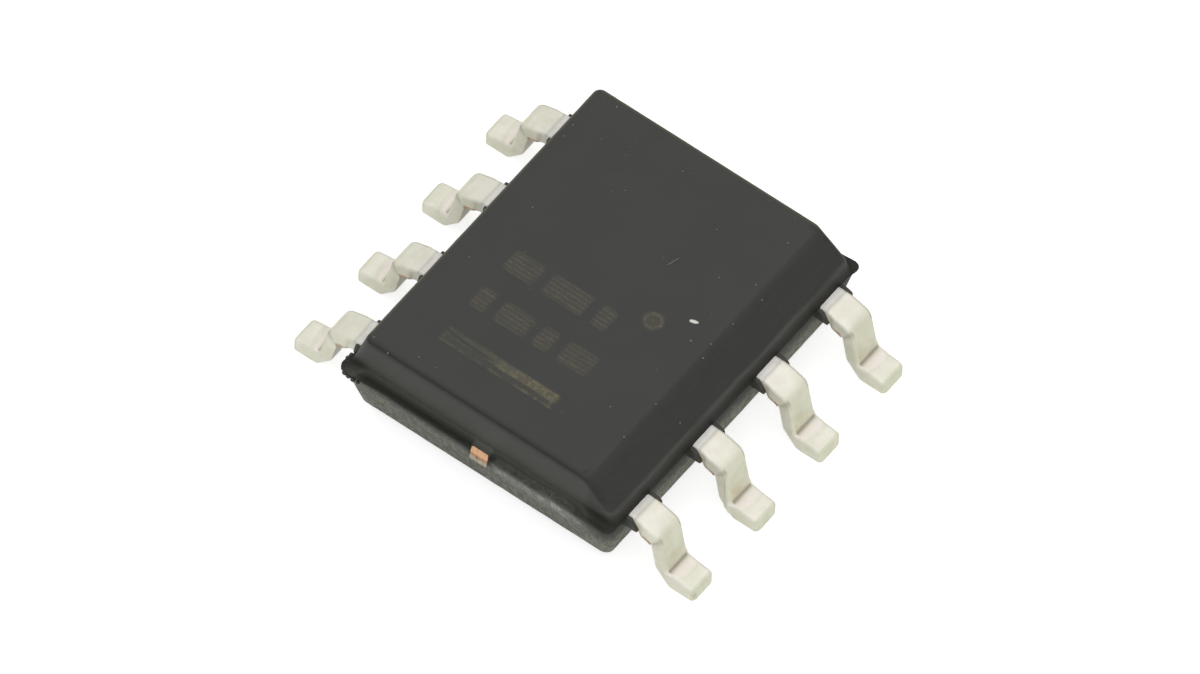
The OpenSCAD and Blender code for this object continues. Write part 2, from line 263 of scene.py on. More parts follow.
def body_profiles():
    """Per level: (x of the ends, z), (y of the bevel side, z), (y of the far side, z)."""
    ends = rounded_poly([(1.9, TOP_Z), (TOP_X, TOP_Z, 0.055, 16), (WALL_X - 0.004, PART_Z + 0.050, 0.045, 8), (WALL_X + 0.020, PART_Z + 0.022)])
    near = rounded_poly([(1.0, TOP_Z), (-TOP_YN, TOP_Z, 0.10, 16), (-BEV_Y, BEV_Z, 0.07, 14), (LIP_Y - 0.004, PART_Z + 0.022)])
    far = rounded_poly([(1.2, TOP_Z), (TOP_YP, TOP_Z, 0.055, 16), (WALL_YP - 0.002, PART_Z + 0.02, 0.02, 6), (WALL_YP + 0.004, PART_Z + 0.022)])

    def at(poly, z):
        # the last (outermost) crossing of each height
        keep = np.concatenate([[True], np.diff(poly[:, 1]) < -1e-9])
        q = poly[keep]
        # start from the end of the flat top
        i0 = np.where(poly[:, 1] > TOP_Z - 1e-9)[0][-1]
        zz = np.concatenate([[TOP_Z], q[q[:, 1] < TOP_Z - 1e-9][:, 1]])
        uu = np.concatenate([[poly[i0, 0]], q[q[:, 1] < TOP_Z - 1e-9][:, 0]])
        return np.interp(-z, -zz, uu)

    t = np.linspace(0, 1, 10)
    z_top = TOP_Z - 0.055 * (1 - np.cos(t * math.pi / 2)) * 1.0
    z_bev = np.linspace(z_top[-1], BEV_Z + 0.045, 11)[1:]
    z_kn = np.linspace(BEV_Z + 0.045, BEV_Z - 0.045, 7)[1:]
    z_wall = np.linspace(BEV_Z - 0.045, PART_Z + 0.022, 9)[1:]
    zs = np.concatenate([z_top, z_bev, z_kn, z_wall])
    E = [(at(ends, z), z) for z in zs]
    N = [(at(near, z), z) for z in zs]
    P = [(at(far, z), z) for z in zs]
    # ledge and rim
    e2 = rounded_poly([E[-1], (WALL_X + 0.05, PART_Z + 0.006, 0.03, 3), (HALF_L, PART_Z - 0.002, 0.018, 4), (HALF_L - 0.005, PART_Z - 0.03)])
    n2 = rounded_poly([N[-1], (LIP_Y + 0.001, PART_Z + 0.002, 0.0008, 3), (HALF_W, PART_Z, 0.002, 4), (HALF_W - 0.002, PART_Z - 0.03)])
    p2 = rounded_poly([P[-1], (WALL_YP + 0.012, PART_Z, 0.006, 3), (HALF_W, PART_Z, 0.010, 4), (HALF_W - 0.004, PART_Z - 0.03)])
    n = 12
    for poly, side in ((e2, E), (n2, N), (p2, P)):
        s = arclen(poly)
        w = np.linspace(0, s[-1], n + 1)[1:]
        side += list(zip(np.interp(w, s, poly[:, 0]), np.interp(w, s, poly[:, 1])))
    # lower half down to the underside
    z3 = np.concatenate([np.linspace(PART_Z - 0.03, LOW_Z + 0.04, 20)[1:], LOW_Z + 0.04 * (1 - np.sin(np.linspace(0, 1, 7)[1:] * math.pi / 2))])
    e3 = rounded_poly([(HALF_L - 0.005, PART_Z - 0.03), (LOW_X, LOW_Z, 0.035, 8), (2.0, LOW_Z)])
    n3 = rounded_poly([(HALF_W - 0.003, PART_Z - 0.03), (LOW_Y, LOW_Z, 0.035, 8), (1.5, LOW_Z)])
    for poly, side in ((e3, E), (n3, N), (n3 + [0, 0], P)):
        dz = np.concatenate([[True], np.diff(poly[:, 1]) < -1e-9])
        q = poly[dz]
        side += list(zip(np.interp(-z3, -q[:, 1], q[:, 0]), z3))
    return np.array(E), np.array(N), np.array(P), len(zs), len(zs) + n


def round_rect(x, y, x0, x1, y0, y1, r):
    """Moves points of a rectangle's nested outlines onto rounded ones."""
    d = np.minimum(np.minimum(x - x0, x1 - x), np.minimum(y - y0, y1 - y))
    rd = np.maximum(r - d, 0)
    ax, bx, ay, by = x0 + d + rd, x1 - d - rd, y0 + d + rd, y1 - d - rd
    cx, cy = np.clip(x, ax, bx), np.clip(y, ay, by)
    vx, vy = x - cx, y - cy
    n = np.hypot(vx, vy)
    ok = (n > 1e-9) & (rd > 1e-9)
    sx = np.where(ok, cx + vx / np.maximum(n, 1e-12) * rd, x)
    sy = np.where(ok, cy + vy / np.maximum(n, 1e-12) * rd, y)
    return sx, sy


def stretch(c, lo0, hi0, lo1, hi1, k0, k1):
    """Column positions c in [lo0, hi0] moved so the ends reach lo1 and hi1; nothing moves between k0 and k1."""
    out = c.copy()
    a, b = c < k0, c > k1
    out[a] = k0 + (c[a] - k0) * (lo1 - k0) / (lo0 - k0)
    out[b] = k1 + (c[b] - k1) * (hi1 - k1) / (hi0 - k1)
    return out


def lump(x, y):
    """Flash at the rim: how far it stands out at rim positions (mm)."""
    p = np.stack([x, y, np.zeros_like(x)], 1)
    corner = np.exp(-(((x + 2.47) / 0.16) ** 2 + ((y - 1.97) / 0.30) ** 2))
    end = smooth(-2.2, -2.45, x)
    f = 0.005 * fbm(p, 0.22, 3) + 0.002 * fbm(p, 0.09, 9, 2)
    f += corner * (0.034 + 0.018 * noise3(p, 0.13, 21))
    f += end * smooth(1.2, 1.6, y) * 0.016 * (0.6 + 0.4 * noise3(p, 0.16, 23))
    f += end * 0.004 * (0.5 + 0.5 * noise3(p, 0.12, 25))
    f += 0.050 * np.exp(-(((x - 2.47) / 0.13) ** 2 + ((y + 1.97) / 0.16) ** 2))
    return f


def build_body(mats):
    E, N, P, k_ledge, k_low = body_profiles()
    levels = len(E)
    x_ref, yn_ref, yp_ref = float(E[0][0]), float(N[0][0]), float(P[0][0])
    row_x = [(f[0] - 0.01, f[1] + 0.01, 0.016) for f in (FIELDS[0], FIELDS[4])]
    xs = graded(-x_ref, x_ref, 0.036, [(BAR[0] - 0.015, BAR[1] + 0.015, 0.0125), (-0.155, 0.135, 0.0145)] + row_x
                + [(-x_ref, -x_ref + 0.11, 0.014), (x_ref - 0.11, x_ref, 0.014)])
    ys = graded(-yn_ref, yp_ref, 0.036, [(-0.93, -0.63, 0.0145), (-0.175, -0.09, 0.0125), (0.09, 0.175, 0.0125),
                                        (-yn_ref, -yn_ref + 0.11, 0.014), (yp_ref - 0.11, yp_ref, 0.014)])
    nx, ny = len(xs) - 1, len(ys) - 1
    # perimeter order: -Y side, +X end, +Y side, -X end
    ring_ij = [(i, 0) for i in range(nx)] + [(nx, j) for j in range(ny)] + [(i, ny) for i in range(nx, 0, -1)] + [(0, j) for j in range(ny, 0, -1)]
    m = len(ring_ij)
    ri = np.array([a for a, _ in ring_ij])
    rj = np.array([b for _, b in ring_ij])
    verts, tags = [], []
    n_top = (nx + 1) * (ny + 1)
    gx, gy = np.meshgrid(xs, ys, indexing="ij")
    sx, sy = round_rect(gx.ravel(), gy.ravel(), -x_ref, x_ref, -yn_ref, yp_ref, 0.10)
    top = np.stack([sx, sy, np.full(n_top, TOP_Z)], 1)
    verts.append(top)
    faces = []
    gid = lambda i, j: i * (ny + 1) + j
    ii, jj = np.meshgrid(np.arange(nx), np.arange(ny), indexing="ij")
    a = gid(ii, jj).ravel()
    quads = [np.stack([a, gid(ii + 1, jj).ravel(), gid(ii + 1, jj + 1).ravel(), gid(ii, jj + 1).ravel()], 1)]
    prev = np.array([gid(i, j) for i, j in ring_ij])
    base = n_top
    zone = [np.zeros(n_top)]
    for k in range(1, levels):
        ex, ez = E[k]
        yn, zn = N[k]
        yp, zp = P[k]
        cx = stretch(xs, -x_ref, x_ref, -ex, ex, -2.12, 2.12)
        cy = stretch(ys, -yn_ref, yp_ref, -yn, yp, -1.25, 1.55)
        x, y = cx[ri], cy[rj]
        r = 0.10 if k < k_ledge else 0.115
        z = np.where(rj == 0, zn, np.where(rj == ny, zp, ez))
        px, py = round_rect(x, y, -ex, ex, -yn, yp, r)
        # the corners ease from one side's height to the next one's
        if k >= k_ledge - 1 and k < k_low + 1:
            dx = np.minimum(np.abs(px + ex), np.abs(px - ex))
            dy = np.minimum(np.abs(py + yn), np.abs(py - yp))
            w = dy / np.maximum(dx + dy, 1e-9)
            zy = np.where(py < 0, zn, zp)
            near_corner = (dx < 0.13) & (dy < 0.13)
            z = np.where(near_corner, ez * w + zy * (1 - w), z)
        verts.append(np.stack([px, py, z], 1))
        cur = base + np.arange(m)
        nxt = np.roll(cur, -1)
        pn = np.roll(prev, -1)
        quads.append(np.stack([prev, cur, nxt, pn], 1))
        zone.append(np.full(m, float(k)))
        prev = cur
        base += m
    # underside: a coarser grid inside the last ring, every second column
    ex, yn, yp = float(E[-1][0]), float(N[-1][0]), float(P[-1][0])
    cx = stretch(xs, -x_ref, x_ref, -ex, ex, -2.12, 2.12)[::2]
    cy = stretch(ys, -yn_ref, yp_ref, -yn, yp, -1.25, 1.55)[::2]
    inset = 0.02
    cx = np.clip(cx, -ex + inset, ex - inset) if False else cx * (ex - inset) / ex
    cyc = (yp - yn) / 2
    cy = (cy - cyc) * ((yp + yn) / 2 - inset) / ((yp + yn) / 2) + cyc
    mx, my = len(cx) - 1, len(cy) - 1
    gx, gy = np.meshgrid(cx, cy, indexing="ij")
    sx, sy = round_rect(gx.ravel(), gy.ravel(), cx[0], cx[-1], cy[0], cy[-1], 0.10)
    bot = np.stack([sx, sy, np.full(len(sx), LOW_Z)], 1)
    verts.append(bot)
    zone.append(np.full(len(sx), float(levels)))
    bid = lambda i, j: base + i * (my + 1) + j
    ii, jj = np.meshgrid(np.arange(mx), np.arange(my), indexing="ij")
    quads.append(np.stack([bid(ii, jj).ravel(), bid(ii, jj + 1).ravel(), bid(ii + 1, jj + 1).ravel(), bid(ii + 1, jj).ravel()], 1))
    coarse = [bid(i, 0) for i in range(mx)] + [bid(mx, j) for j in range(my)] + [bid(i, my) for i in range(mx, 0, -1)] + [bid(0, j) for j in range(my, 0, -1)]
    tris = []
    for s in range(len(coarse)):
        b0, b1 = coarse[s], coarse[(s + 1) % len(coarse)]
        a0, a1, a2 = prev[2 * s], prev[2 * s + 1], prev[(2 * s + 2) % m]
        tris += [(a0, b0, a1), (a1, b0, b1), (a1, b1, a2)]
    V = np.concatenate(verts)
    Z = np.concatenate(zone)
    F = [tuple(q) for q in np.concatenate(quads)] + tris

    # ---- shape detail --------------------------------------------------------
    x, y, z = V[:, 0].copy(), V[:, 1].copy(), V[:, 2].copy()
    ctr = np.stack([np.clip(x, -1.9, 1.9), np.clip(y, -1.2, 1.4), np.full(len(x), 0.86)], 1)
    side = (Z > 0) & (Z < levels)
    out_dir = np.stack([x - np.clip(x, -2.2, 2.2), y - np.clip(y, -1.4, 1.6), np.zeros(len(x))], 1)
    nrm = np.linalg.norm(out_dir, axis=1)
    out_dir = out_dir / np.maximum(nrm, 1e-9)[:, None]
    wall = side & (nrm > 1e-6)
    # the sides aren't perfectly flat: long waves and a fine eroded texture, coarser on the lower half
    lower = Z >= k_low - 2
    amp = np.where(lower, 0.0030, 0.0012)
    disp = amp * fbm(V, 0.12, 41, 2) + 0.0015 * fbm(V, 0.6, 42)
    # the bevel is finely streaked along its length
    bev = side & (z > BEV_Z - 0.02) & (y < TOP_YN + 0.05)
    disp += np.where(bev, 0.0006 * noise3(V * [0.16, 1, 1], 0.045, 43) + 0.0006 * noise3(V * [0.3, 1, 1], 0.11, 44), 0)
    # flash at the rim
    rim = np.exp(-((Z - (k_low - 4)) / 2.6) ** 2) * (Z >= k_ledge)
    disp += rim * lump(x, y)
    V[wall] += out_dir[wall] * disp[wall][:, None]
    # the lumps at the far corner also reach down over the lower half a little
    crn = np.exp(-(((x + 2.50) / 0.20) ** 2 + ((y - 1.98) / 0.34) ** 2)) * smooth(PART_Z - 0.42, PART_Z - 0.05, z) * lower
    V += out_dir * (crn * (0.016 + 0.014 * noise3(V, 0.10, 47)))[:, None]
    # the parting edge wanders up and down, most along the end with the bar
    jag = np.exp(-((Z - (k_low - 5)) / 3.0) ** 2) * (Z >= k_ledge) * smooth(-2.36, -2.44, x)
    V[:, 2] += jag * (0.007 * fbm(np.stack([x, y, np.zeros_like(x)], 1), 0.11, 49, 2) + 0.002)
    # top face: very shallow unevenness, then the marks cut in
    is_top = Z == 0
    st, dp = marks_at(V[:, 0], V[:, 1])
    st, dp = np.where(is_top, st, 0), np.where(is_top, dp, 0)
    V[is_top, 2] += 0.0012 * fbm(V[is_top], 0.5, 61) + 0.0004 * fbm(V[is_top], 0.06, 62) - dp[is_top]
    # room for the sheared ends of the tie bars
    tie = smooth(TIE_HALF + 0.020, TIE_HALF + 0.004, np.abs(y - TIE_Y)) * (np.abs(x) > 2.2)
    at_ledge = tie * ((Z >= k_ledge - 2) & (V[:, 2] > STRIP_Z - 0.01) & (V[:, 2] < PART_Z - 0.004))
    V[:, 0] -= np.sign(x) * at_ledge * 0.056 * (np.abs(V[:, 0]) > 2.42)
    # over the bar the resin runs straight down to its top edge
    above = tie * ((Z >= k_ledge - 8) & (Z <= k_low) & (V[:, 2] >= PART_Z - 0.004))
    V[:, 0] = np.where((above > 0) & (np.abs(V[:, 0]) > 2.452), V[:, 0] * (1 - above) + np.sign(x) * 2.452 * above, V[:, 0])
    V[:, 2] += above * 0.034 * smooth(2.36, 2.40, np.abs(V[:, 0])) * smooth(2.475, 2.44, np.abs(V[:, 0]))
    # attributes for the material
    q = np.stack([x, y, np.zeros_like(x)], 1)
    at_end = smooth(-2.36, -2.46, x)
    on_end = at_end * (Z >= k_ledge - 2) * (Z < levels)
    # whitened flash between the tie bar and the corner: rises and fades along the edge
    prof = np.interp(y, [-1.78, -1.68, -1.55, -1.42, -1.28, -1.15, -1.0, -0.85, -0.70, -0.55, -0.42, -0.30, -0.22],
                     [0.0, 0.10, 0.22, 0.48, 0.92, 1.00, 0.66, 0.62, 0.52, 0.50, 0.60, 0.48, 0.0])
    corner = np.exp(-((y - 1.84) / 0.10) ** 2) * 0.42
    flash_w = np.clip(on_end * np.maximum(prof, corner), 0, 1)
    # 1 on the faces that look along Y, 0 on the ends
    yside = smooth(0.35, 0.90, np.abs(out_dir[:, 1])) * side
    # the sharp corner lines between the ends and the bevel, and the top edges of the ends: a mask for a painted dark
    # line, painted shade standing in for the dark reflection on these rounded edges
    ki = np.clip(Z, 0, levels - 1).astype(int)
    exk, ynk = E[ki, 0], N[ki, 0]
    gap = np.abs(np.abs(x) - exk) + np.abs(y + ynk)
    painted_edge_shade = np.exp(-(gap / 0.060) ** 2) * (Z < k_ledge) * smooth(BEV_Z + 0.03, BEV_Z + 0.12, z)
    edge = smooth(2.25, 2.335, np.abs(x)) * smooth(TOP_Z - 0.13, TOP_Z - 0.03, z)
    low_w = smooth(k_low - 5, k_low + 1, Z) * (Z < levels)
    # mask of the upper end walls, where a lighter colour is painted as the light they catch
    lit_end_wall_w = smooth(2.32, 2.37, np.abs(x)) * (Z > 0) * (Z < k_low)
    o = make_object("mould_body_skin", V, F, attrs={"mark": st, "flash": flash_w, "low": low_w, "wall": lit_end_wall_w, "brown": np.zeros(len(V)), "free": np.zeros(len(V)),
                                                   "yside": yside, "painted_edge_shade": np.maximum(painted_edge_shade, 0.60 * edge)}, mats=mats)
    return o


# ---------------------------------------------------------------------------
# leads
# ---------------------------------------------------------------------------
def lead_x(i):
    return (i - 2.5) * 1.27 if i <= 4 else (6.5 - i) * 1.27


HEEL_T, TIP_T = 0.262, 0.19


def lead_sections(seed):
    """Stations of the wing: arrays of top points and bottom points as (distance from the middle, z)."""
    rng = np.random.RandomState(seed)
    j = lambda s: float(rng.uniform(-s, s))
    top_parts = [
        (1.88, PART_Z), (2.06, PART_Z), (2.135, PART_Z - 0.006), (2.20, PART_Z - 0.022), (2.29, PART_Z - 0.050),
    ]
    knee_t = rounded_poly([(2.29, PART_Z - 0.050), (2.490, PART_Z - 0.118, 0.19, 20), (2.530, 0.640)])
    riser_t = np.array([(2.530, 0.640), (2.586, 0.375)])
    crease_t = rounded_poly([(2.586, 0.375), (2.613, HEEL_T - 0.006, 0.040, 12), (2.72, 0.242)])
    foot_t = np.array([(2.72, 0.242), (2.82, 0.224), (TIP - 0.055, TIP_T + 0.008)])
    top = [np.array(top_parts), knee_t, riser_t, crease_t, foot_t]
    bot_parts = np.array([(1.88, STRIP_Z), (2.05, STRIP_Z), (2.125, STRIP_Z - 0.006), (2.18, STRIP_Z - 0.022), (2.285, STRIP_Z - 0.060)])
    knee_b = rounded_poly([(2.285, STRIP_Z - 0.060), (2.336, STRIP_Z - 0.080, 0.055, 12), (2.357, 0.590)])
    riser_b = np.array([(2.357, 0.590), (2.400, 0.370)])
    heel_b = rounded_poly([(2.400, 0.370), (2.424, 0.250, 0.10, 8), (2.636, 0.004, 0.085, 8), (2.72, 0.0)])
    foot_b = np.array([(2.72, 0.0), (2.82, 0.0), (TIP - 0.055, 0.0)])
    bot = [bot_parts, knee_b, riser_b, heel_b, foot_b]
    counts = [26, 22, 16, 22, 22]
    T, B = [], []
    for a, b, n in zip(top, bot, counts):
        for poly, out in ((a, T), (b, B)):
            s = arclen(poly)
            w = np.linspace(0, s[-1], n + 1)
            pts = np.stack([np.interp(w, s, poly[:, 0]), np.interp(w, s, poly[:, 1])], 1)
            out.extend(pts if not out else pts[1:])
    return np.array(T), np.array(B)


def build_lead(i, mats):
    side = -1 if i <= 4 else 1
    seed = 100 + i
    T, B = lead_sections(seed)
    n = len(T)
    s_mid = arclen((T + B) / 2)
    dist = (T[:, 0] + B[:, 0]) / 2
    zmid = (T[:, 1] + B[:, 1]) / 2
    half = LEAD_W / 2
    rng = np.random.RandomState(seed)
    # how wide the strip is at each station: stubs of the dam bar on both flanks, a slight swell at the knee
    stub_lo, stub_hi = 2.150, 2.398
    along = T[:, 0] * 0.35 + B[:, 0] * 0.65
    stub = smooth(stub_lo, stub_lo + 0.075, along) * (1 - smooth(stub_hi - 0.020, stub_hi, along))
    r_t, r_b = 0.046, 0.016
    nt, nc, ns, nb = 16, 6, 7, 12
    ring = []
    # going round: top from -x to +x, +x flank down, bottom from +x to -x, -x flank up
    for k in range(nt + 1):
        ring.append(("t", -1 + 2 * k / nt))
    for k in range(1, nc + 1):
        ring.append(("ct+", k / nc))
    for k in range(1, ns + 1):
        ring.append(("s+", k / ns))
    for k in range(1, nc + 1):
        ring.append(("cb+", k / nc))
    for k in range(1, nb + 1):
        ring.append(("b", 1 - 2 * k / nb))
    for k in range(1, nc + 1):
        ring.append(("cb-", k / nc))
    for k in range(1, ns + 1):
        ring.append(("s-", k / ns))
    for k in range(1, nc):
        ring.append(("ct-", k / nc))
    m = len(ring)
    P = np.zeros((n, m, 3))
    kind = np.array([{"t": 0, "ct+": 1, "s+": 2, "cb+": 3, "b": 4, "cb-": 5, "s-": 6, "ct-": 7}[c] for c, _ in ring])
    flat_a = np.zeros(m)
    for st in range(n):
        t, b = T[st], B[st]
        d = t - b
        th = np.linalg.norm(d)
        d = d / th
        wl = half + 0.032 * stub[st]
        wr = half + 0.032 * stub[st]
        rt = min(r_t, th * 0.3)
        rb = min(r_b, th * 0.2)
        for q, (c, w) in enumerate(ring):
            # (a: across in mm, h: height above the bottom face in mm)
            if c == "t":
                a, h = (w * (wr - rt) if w > 0 else w * (wl - rt)), th
            elif c == "ct+":
                an = w * math.pi / 2
                a, h = wr - rt + rt * math.sin(an), th - rt + rt * math.cos(an)
            elif c == "s+":
                a, h = wr, th - rt + (rb - th + rt) * w
            elif c == "cb+":
                an = w * math.pi / 2
                a, h = wr - rb + rb * math.cos(an), rb - rb * math.sin(an)
            elif c == "b":
                a, h = (w * (wr - rb) if w > 0 else w * (wl - rb)), 0.0
            elif c == "cb-":
                an = w * math.pi / 2
                a, h = -(wl - rb + rb * math.sin(an)), rb - rb * math.cos(an)
            elif c == "s-":
                a, h = -wl, rb + (th - rt - rb) * w
            else:
                an = w * math.pi / 2
                a, h = -(wl - rt + rt * math.cos(an)), th - rt + rt * math.sin(an)
            if c != "t" and c != "b" and stub[st] > 0:
                a -= math.copysign(0.026 * stub[st] * min(max(h / th, 0.0), 1.0) ** 0.8, a)
            elif c == "t":
                a *= 1 - 0.026 * stub[st] / (half + 0.032 * stub[st] - rt)
            p = b + d * h
            P[st, q] = (a, p[0], p[1])
    # ---- marks of forming --------------------------------------------------
    a = P[:, :, 0]
    dd = P[:, :, 1]
    on_top = (kind == 0)[None, :] * np.ones((n, 1))
    upper = np.isin(kind, (0, 1, 7))[None, :] * np.ones((n, 1))
    pts = np.stack([a.ravel(), dd.ravel() * side, P[:, :, 2].ravel()], 1) + [lead_x(i), 0, 0]
    und = fbm(pts, 0.16, seed).reshape(n, m)
    fine = fbm(pts, 0.035, seed + 7).reshape(n, m)
    # normal of the top face in the section plane
    tt = np.gradient((T + B) / 2, axis=0)
    tt = tt / np.linalg.norm(tt, axis=1)[:, None]
    nrm = np.stack([-tt[:, 1], tt[:, 0]], 1)
    nrm *= np.sign((nrm * (T - B)).sum(1))[:, None]
    push = np.zeros((n, m))
    # plating line just outside the body, with a faint step
    line = 2.098 + 0.006 * noise3(np.stack([a.ravel(), np.zeros(a.size), np.zeros(a.size)], 1), 0.12, seed + 3).reshape(n, m)
    push -= upper * 0.0030 * bump1(dd, line, 0.016)
    push -= upper * 0.0016 * smooth(0.012, -0.012, dd - line)
    # slope a little crowned across, dished where the punch pressed
    push -= on_top * 0.006 * smooth(0.11, 0.20, np.abs(a)) * smooth(2.16, 2.28, dd) * smooth(2.56, 2.48, dd)
    push -= on_top * 0.004 * bump1(np.hypot((a - 0.02) / 1.4, dd - 2.30), 0, 0.055)
    # foot: a shallow valley across the middle and a raised lip at the heel
    vy = 2.795 + float(rng.uniform(-.012, .012))
    arc = dd + 0.9 * a * a - 0.10 * a
    push -= upper * 0.0050 * bump1(arc, vy, 0.034)
    push += upper * 0.0055 * bump1(dd, 2.70, 0.045) + upper * 0.0035 * bump1(dd, 2.885, 0.05)
    # a fine slanting nick from the end of the dam-bar stub
    u = (a + half) / (0.42 * LEAD_W)
    zz = P[:, :, 2]
    nick_z = 0.655 - 0.030 * u + 0.01 * rng.uniform(-1, 1)
    push += upper * 0.0022 * und + 0.0010 * fine * np.isin(kind, (0, 1, 7, 2, 6))[None, :]
    # the sole stays flat
    sole = (kind == 4)[None, :] & (P[:, :, 2] < 0.01)
    push = np.where(sole, 0, push)
    P[:, :, 1] += nrm[:, None, 0] * push
    P[:, :, 2] += nrm[:, None, 1] * push
    # squeezed out sideways on the inside of the lower bend
    hf = np.array([{"s+": 1 - w, "s-": w, "cb+": 0.0, "cb-": 0.0, "b": 0.0}.get(c, 1.0) for c, w in ring])
    sq = bump1(np.hypot(dd - 2.605, P[:, :, 2] - HEEL_T - 0.01), 0, 0.060) * smooth(0.25, 0.95, hf)[None, :]
    P[:, :, 0] += np.sign(a) * smooth(0.06, 0.20, np.abs(a)) * 0.017 * sq
    # flanks are sheared: slightly uneven
    fl = np.isin(kind, (2, 6))[None, :] * np.ones((n, 1))
    P[:, :, 0] += np.sign(a) * fl * (0.0022 * und + 0.0012 * fine)
    if i == 2:                                              # a small step on one flank of this lead
        step = smooth(2.50, 2.515, dd) * smooth(2.60, 2.575, dd) * (a < -0.1)
        P[:, :, 0] -= 0.016 * step
    # ---- tip: closes with a rounded end ------------------------------------
    verts = [P.reshape(-1, 3)]
    faces = []
    for st in range(n - 1):
        r0, r1 = st * m, (st + 1) * m
        for q in range(m):
            q1 = (q + 1) % m
            faces.append((r0 + q, r0 + q1, r1 + q1, r1 + q))
    # cap rings at the tip: rounded in plan and over the top edge
    last = P[-1].copy()
    depth, rings = 0.055, 10
    w_half = np.abs(last[:, 0]).max()
    h_hi, h_lo = last[:, 2].max(), last[:, 2].min()
    base = n * m
    prev = (n - 1) * m
    for k in range(1, rings + 1):
        an = k / rings * math.pi / 2 * 0.985
        off = depth * math.sin(an)
        sw = 1 - 0.072 * (1 - math.cos(an)) / w_half
        sh = 1 - 0.062 * (1 - math.cos(an)) / (h_hi - h_lo)
        rg = last.copy()
        rg[:, 0] = last[:, 0] * sw
        rg[:, 2] = h_lo + 0.006 * (1 - math.cos(an)) + (last[:, 2] - h_lo) * sh
        rg[:, 1] = last[:, 1] + off
        verts.append(rg)
        for q in range(m):
            q1 = (q + 1) % m
            faces.append((prev + q, prev + q1, base + q1, base + q))
        prev = base
        base += m
    # inner rings of the end face, shrinking to the middle line
    lastr = verts[-1]
    cen_z = (lastr[:, 2].max() + lastr[:, 2].min()) / 2
    for f in (0.90, 0.72, 0.50, 0.28, 0.10):
        rg = lastr.copy()
        rg[:, 0] = lastr[:, 0] * (1 - (1 - f) * 0.5)
        rg[:, 2] = cen_z + (lastr[:, 2] - cen_z) * f
        rg[:, 1] = lastr[:, 1] + 0.0010 + 0.0015 * (1 - f) * noise3(rg + [lead_x(i), 0, 0], 0.05, seed + 5)
        verts.append(rg)
        for q in range(m):
            q1 = (q + 1) % m
            faces.append((prev + q, prev + q1, base + q1, base + q))
        prev = base
        base += m
    faces.append(tuple(prev + q for q in range(m)))
    # close the inner end, hidden in the body
    faces.append(tuple(reversed(range(m))))
    V = np.concatenate(verts)
    n_out = len(V)
    # ---- finger inside the body ----------------------------------------------
    b_ = LEAD_W / 2
    if abs(lead_x(i)) > 1.27:
        plan = [(-b_, 1.95), (-b_, 1.74), (-b_ + .07, 1.74), (-b_ + .07, 1.62), (-0.25, 1.62), (-0.25, 0.50), (-0.17, 0.42),
                (0.17, 0.42), (0.25, 0.50), (0.25, 1.62), (b_ - .07, 1.62), (b_ - .07, 1.74), (b_, 1.74), (b_, 1.95)]
    else:
        plan = [(-b_, 1.95), (-b_, 1.74), (-b_ + .07, 1.74), (-b_ + .07, 1.62), (-0.32, 1.62), (-0.40, 1.54), (-0.40, 1.32),
                (0.40, 1.32), (0.40, 1.54), (0.32, 1.62), (b_ - .07, 1.62), (b_ - .07, 1.74), (b_, 1.74), (b_, 1.95)]
    k = len(plan)
    lo = [(p[0], p[1], STRIP_Z) for p in plan]
    hi = [(p[0], p[1], PART_Z) for p in plan]
    V = np.concatenate([V, lo, hi])
    for q in range(k):
        q1 = (q + 1) % k
        faces.append((n_out + q, n_out + q1, n_out + k + q1, n_out + k + q))
    faces.append(tuple(n_out + q for q in reversed(range(k))))
    faces.append(tuple(n_out + k + q for q in range(k)))
    # ---- attributes ---------------------------------------------------------
    side_f = np.isin(kind, (2, 3, 5, 6))[None, :] * np.ones((n, 1))
    hfrac = np.zeros(m)                                       # 0 at the bottom of a flank, 1 at its top
    for q, (c, w) in enumerate(ring):
        hfrac[q] = {"s+": 1 - w, "s-": w, "cb+": 0.0, "cb-": 0.0, "b": 0.0}.get(c, 1.0)
    low_edge = side_f * smooth(0.30, 0.08, hfrac)[None, :]
    cut_v = np.zeros(len(V))
    cut_v[: n * m] = (np.repeat(stub, m).reshape(n, m) * low_edge * (0.55 + 0.45 * np.repeat(smooth(2.20, 2.34, along), m).reshape(n, m))).ravel()
    near_v = np.zeros(len(V))
    near_v[: n * m] = smooth(2.118, 2.085, dd).ravel()
    # painted shade in the inner bend at the heel, together with the real dark lines at the plating step and the stub's
    # cut edge, and the tip's stain
    crease = np.zeros(len(V))
    cr = 0.9 * bump1(np.hypot(dd - 2.612, P[:, :, 2] - HEEL_T), 0, 0.034) * on_top
    cr = np.maximum(cr, 0.30 * bump1(dd, line, 0.020) * upper)
    end_edge = np.exp(-((along - (stub_hi - 0.006)) / 0.012) ** 2)
    cr = np.maximum(cr, 0.55 * np.repeat(end_edge, m).reshape(n, m) * np.isin(kind, (1, 2, 6, 7))[None, :])
    cr = np.maximum(cr, 0.28 * np.repeat(stub, m).reshape(n, m) * np.isin(kind, (1,))[None, :])
    crease[: n * m] = cr.ravel()
    heel = np.zeros(len(V))
    heel[: n * m] = (on_top * smooth(0.60, 0.36, zz) * smooth(0.25, 0.30, zz) * (dd < 2.64) * smooth(0.20, -0.10, a)).ravel()
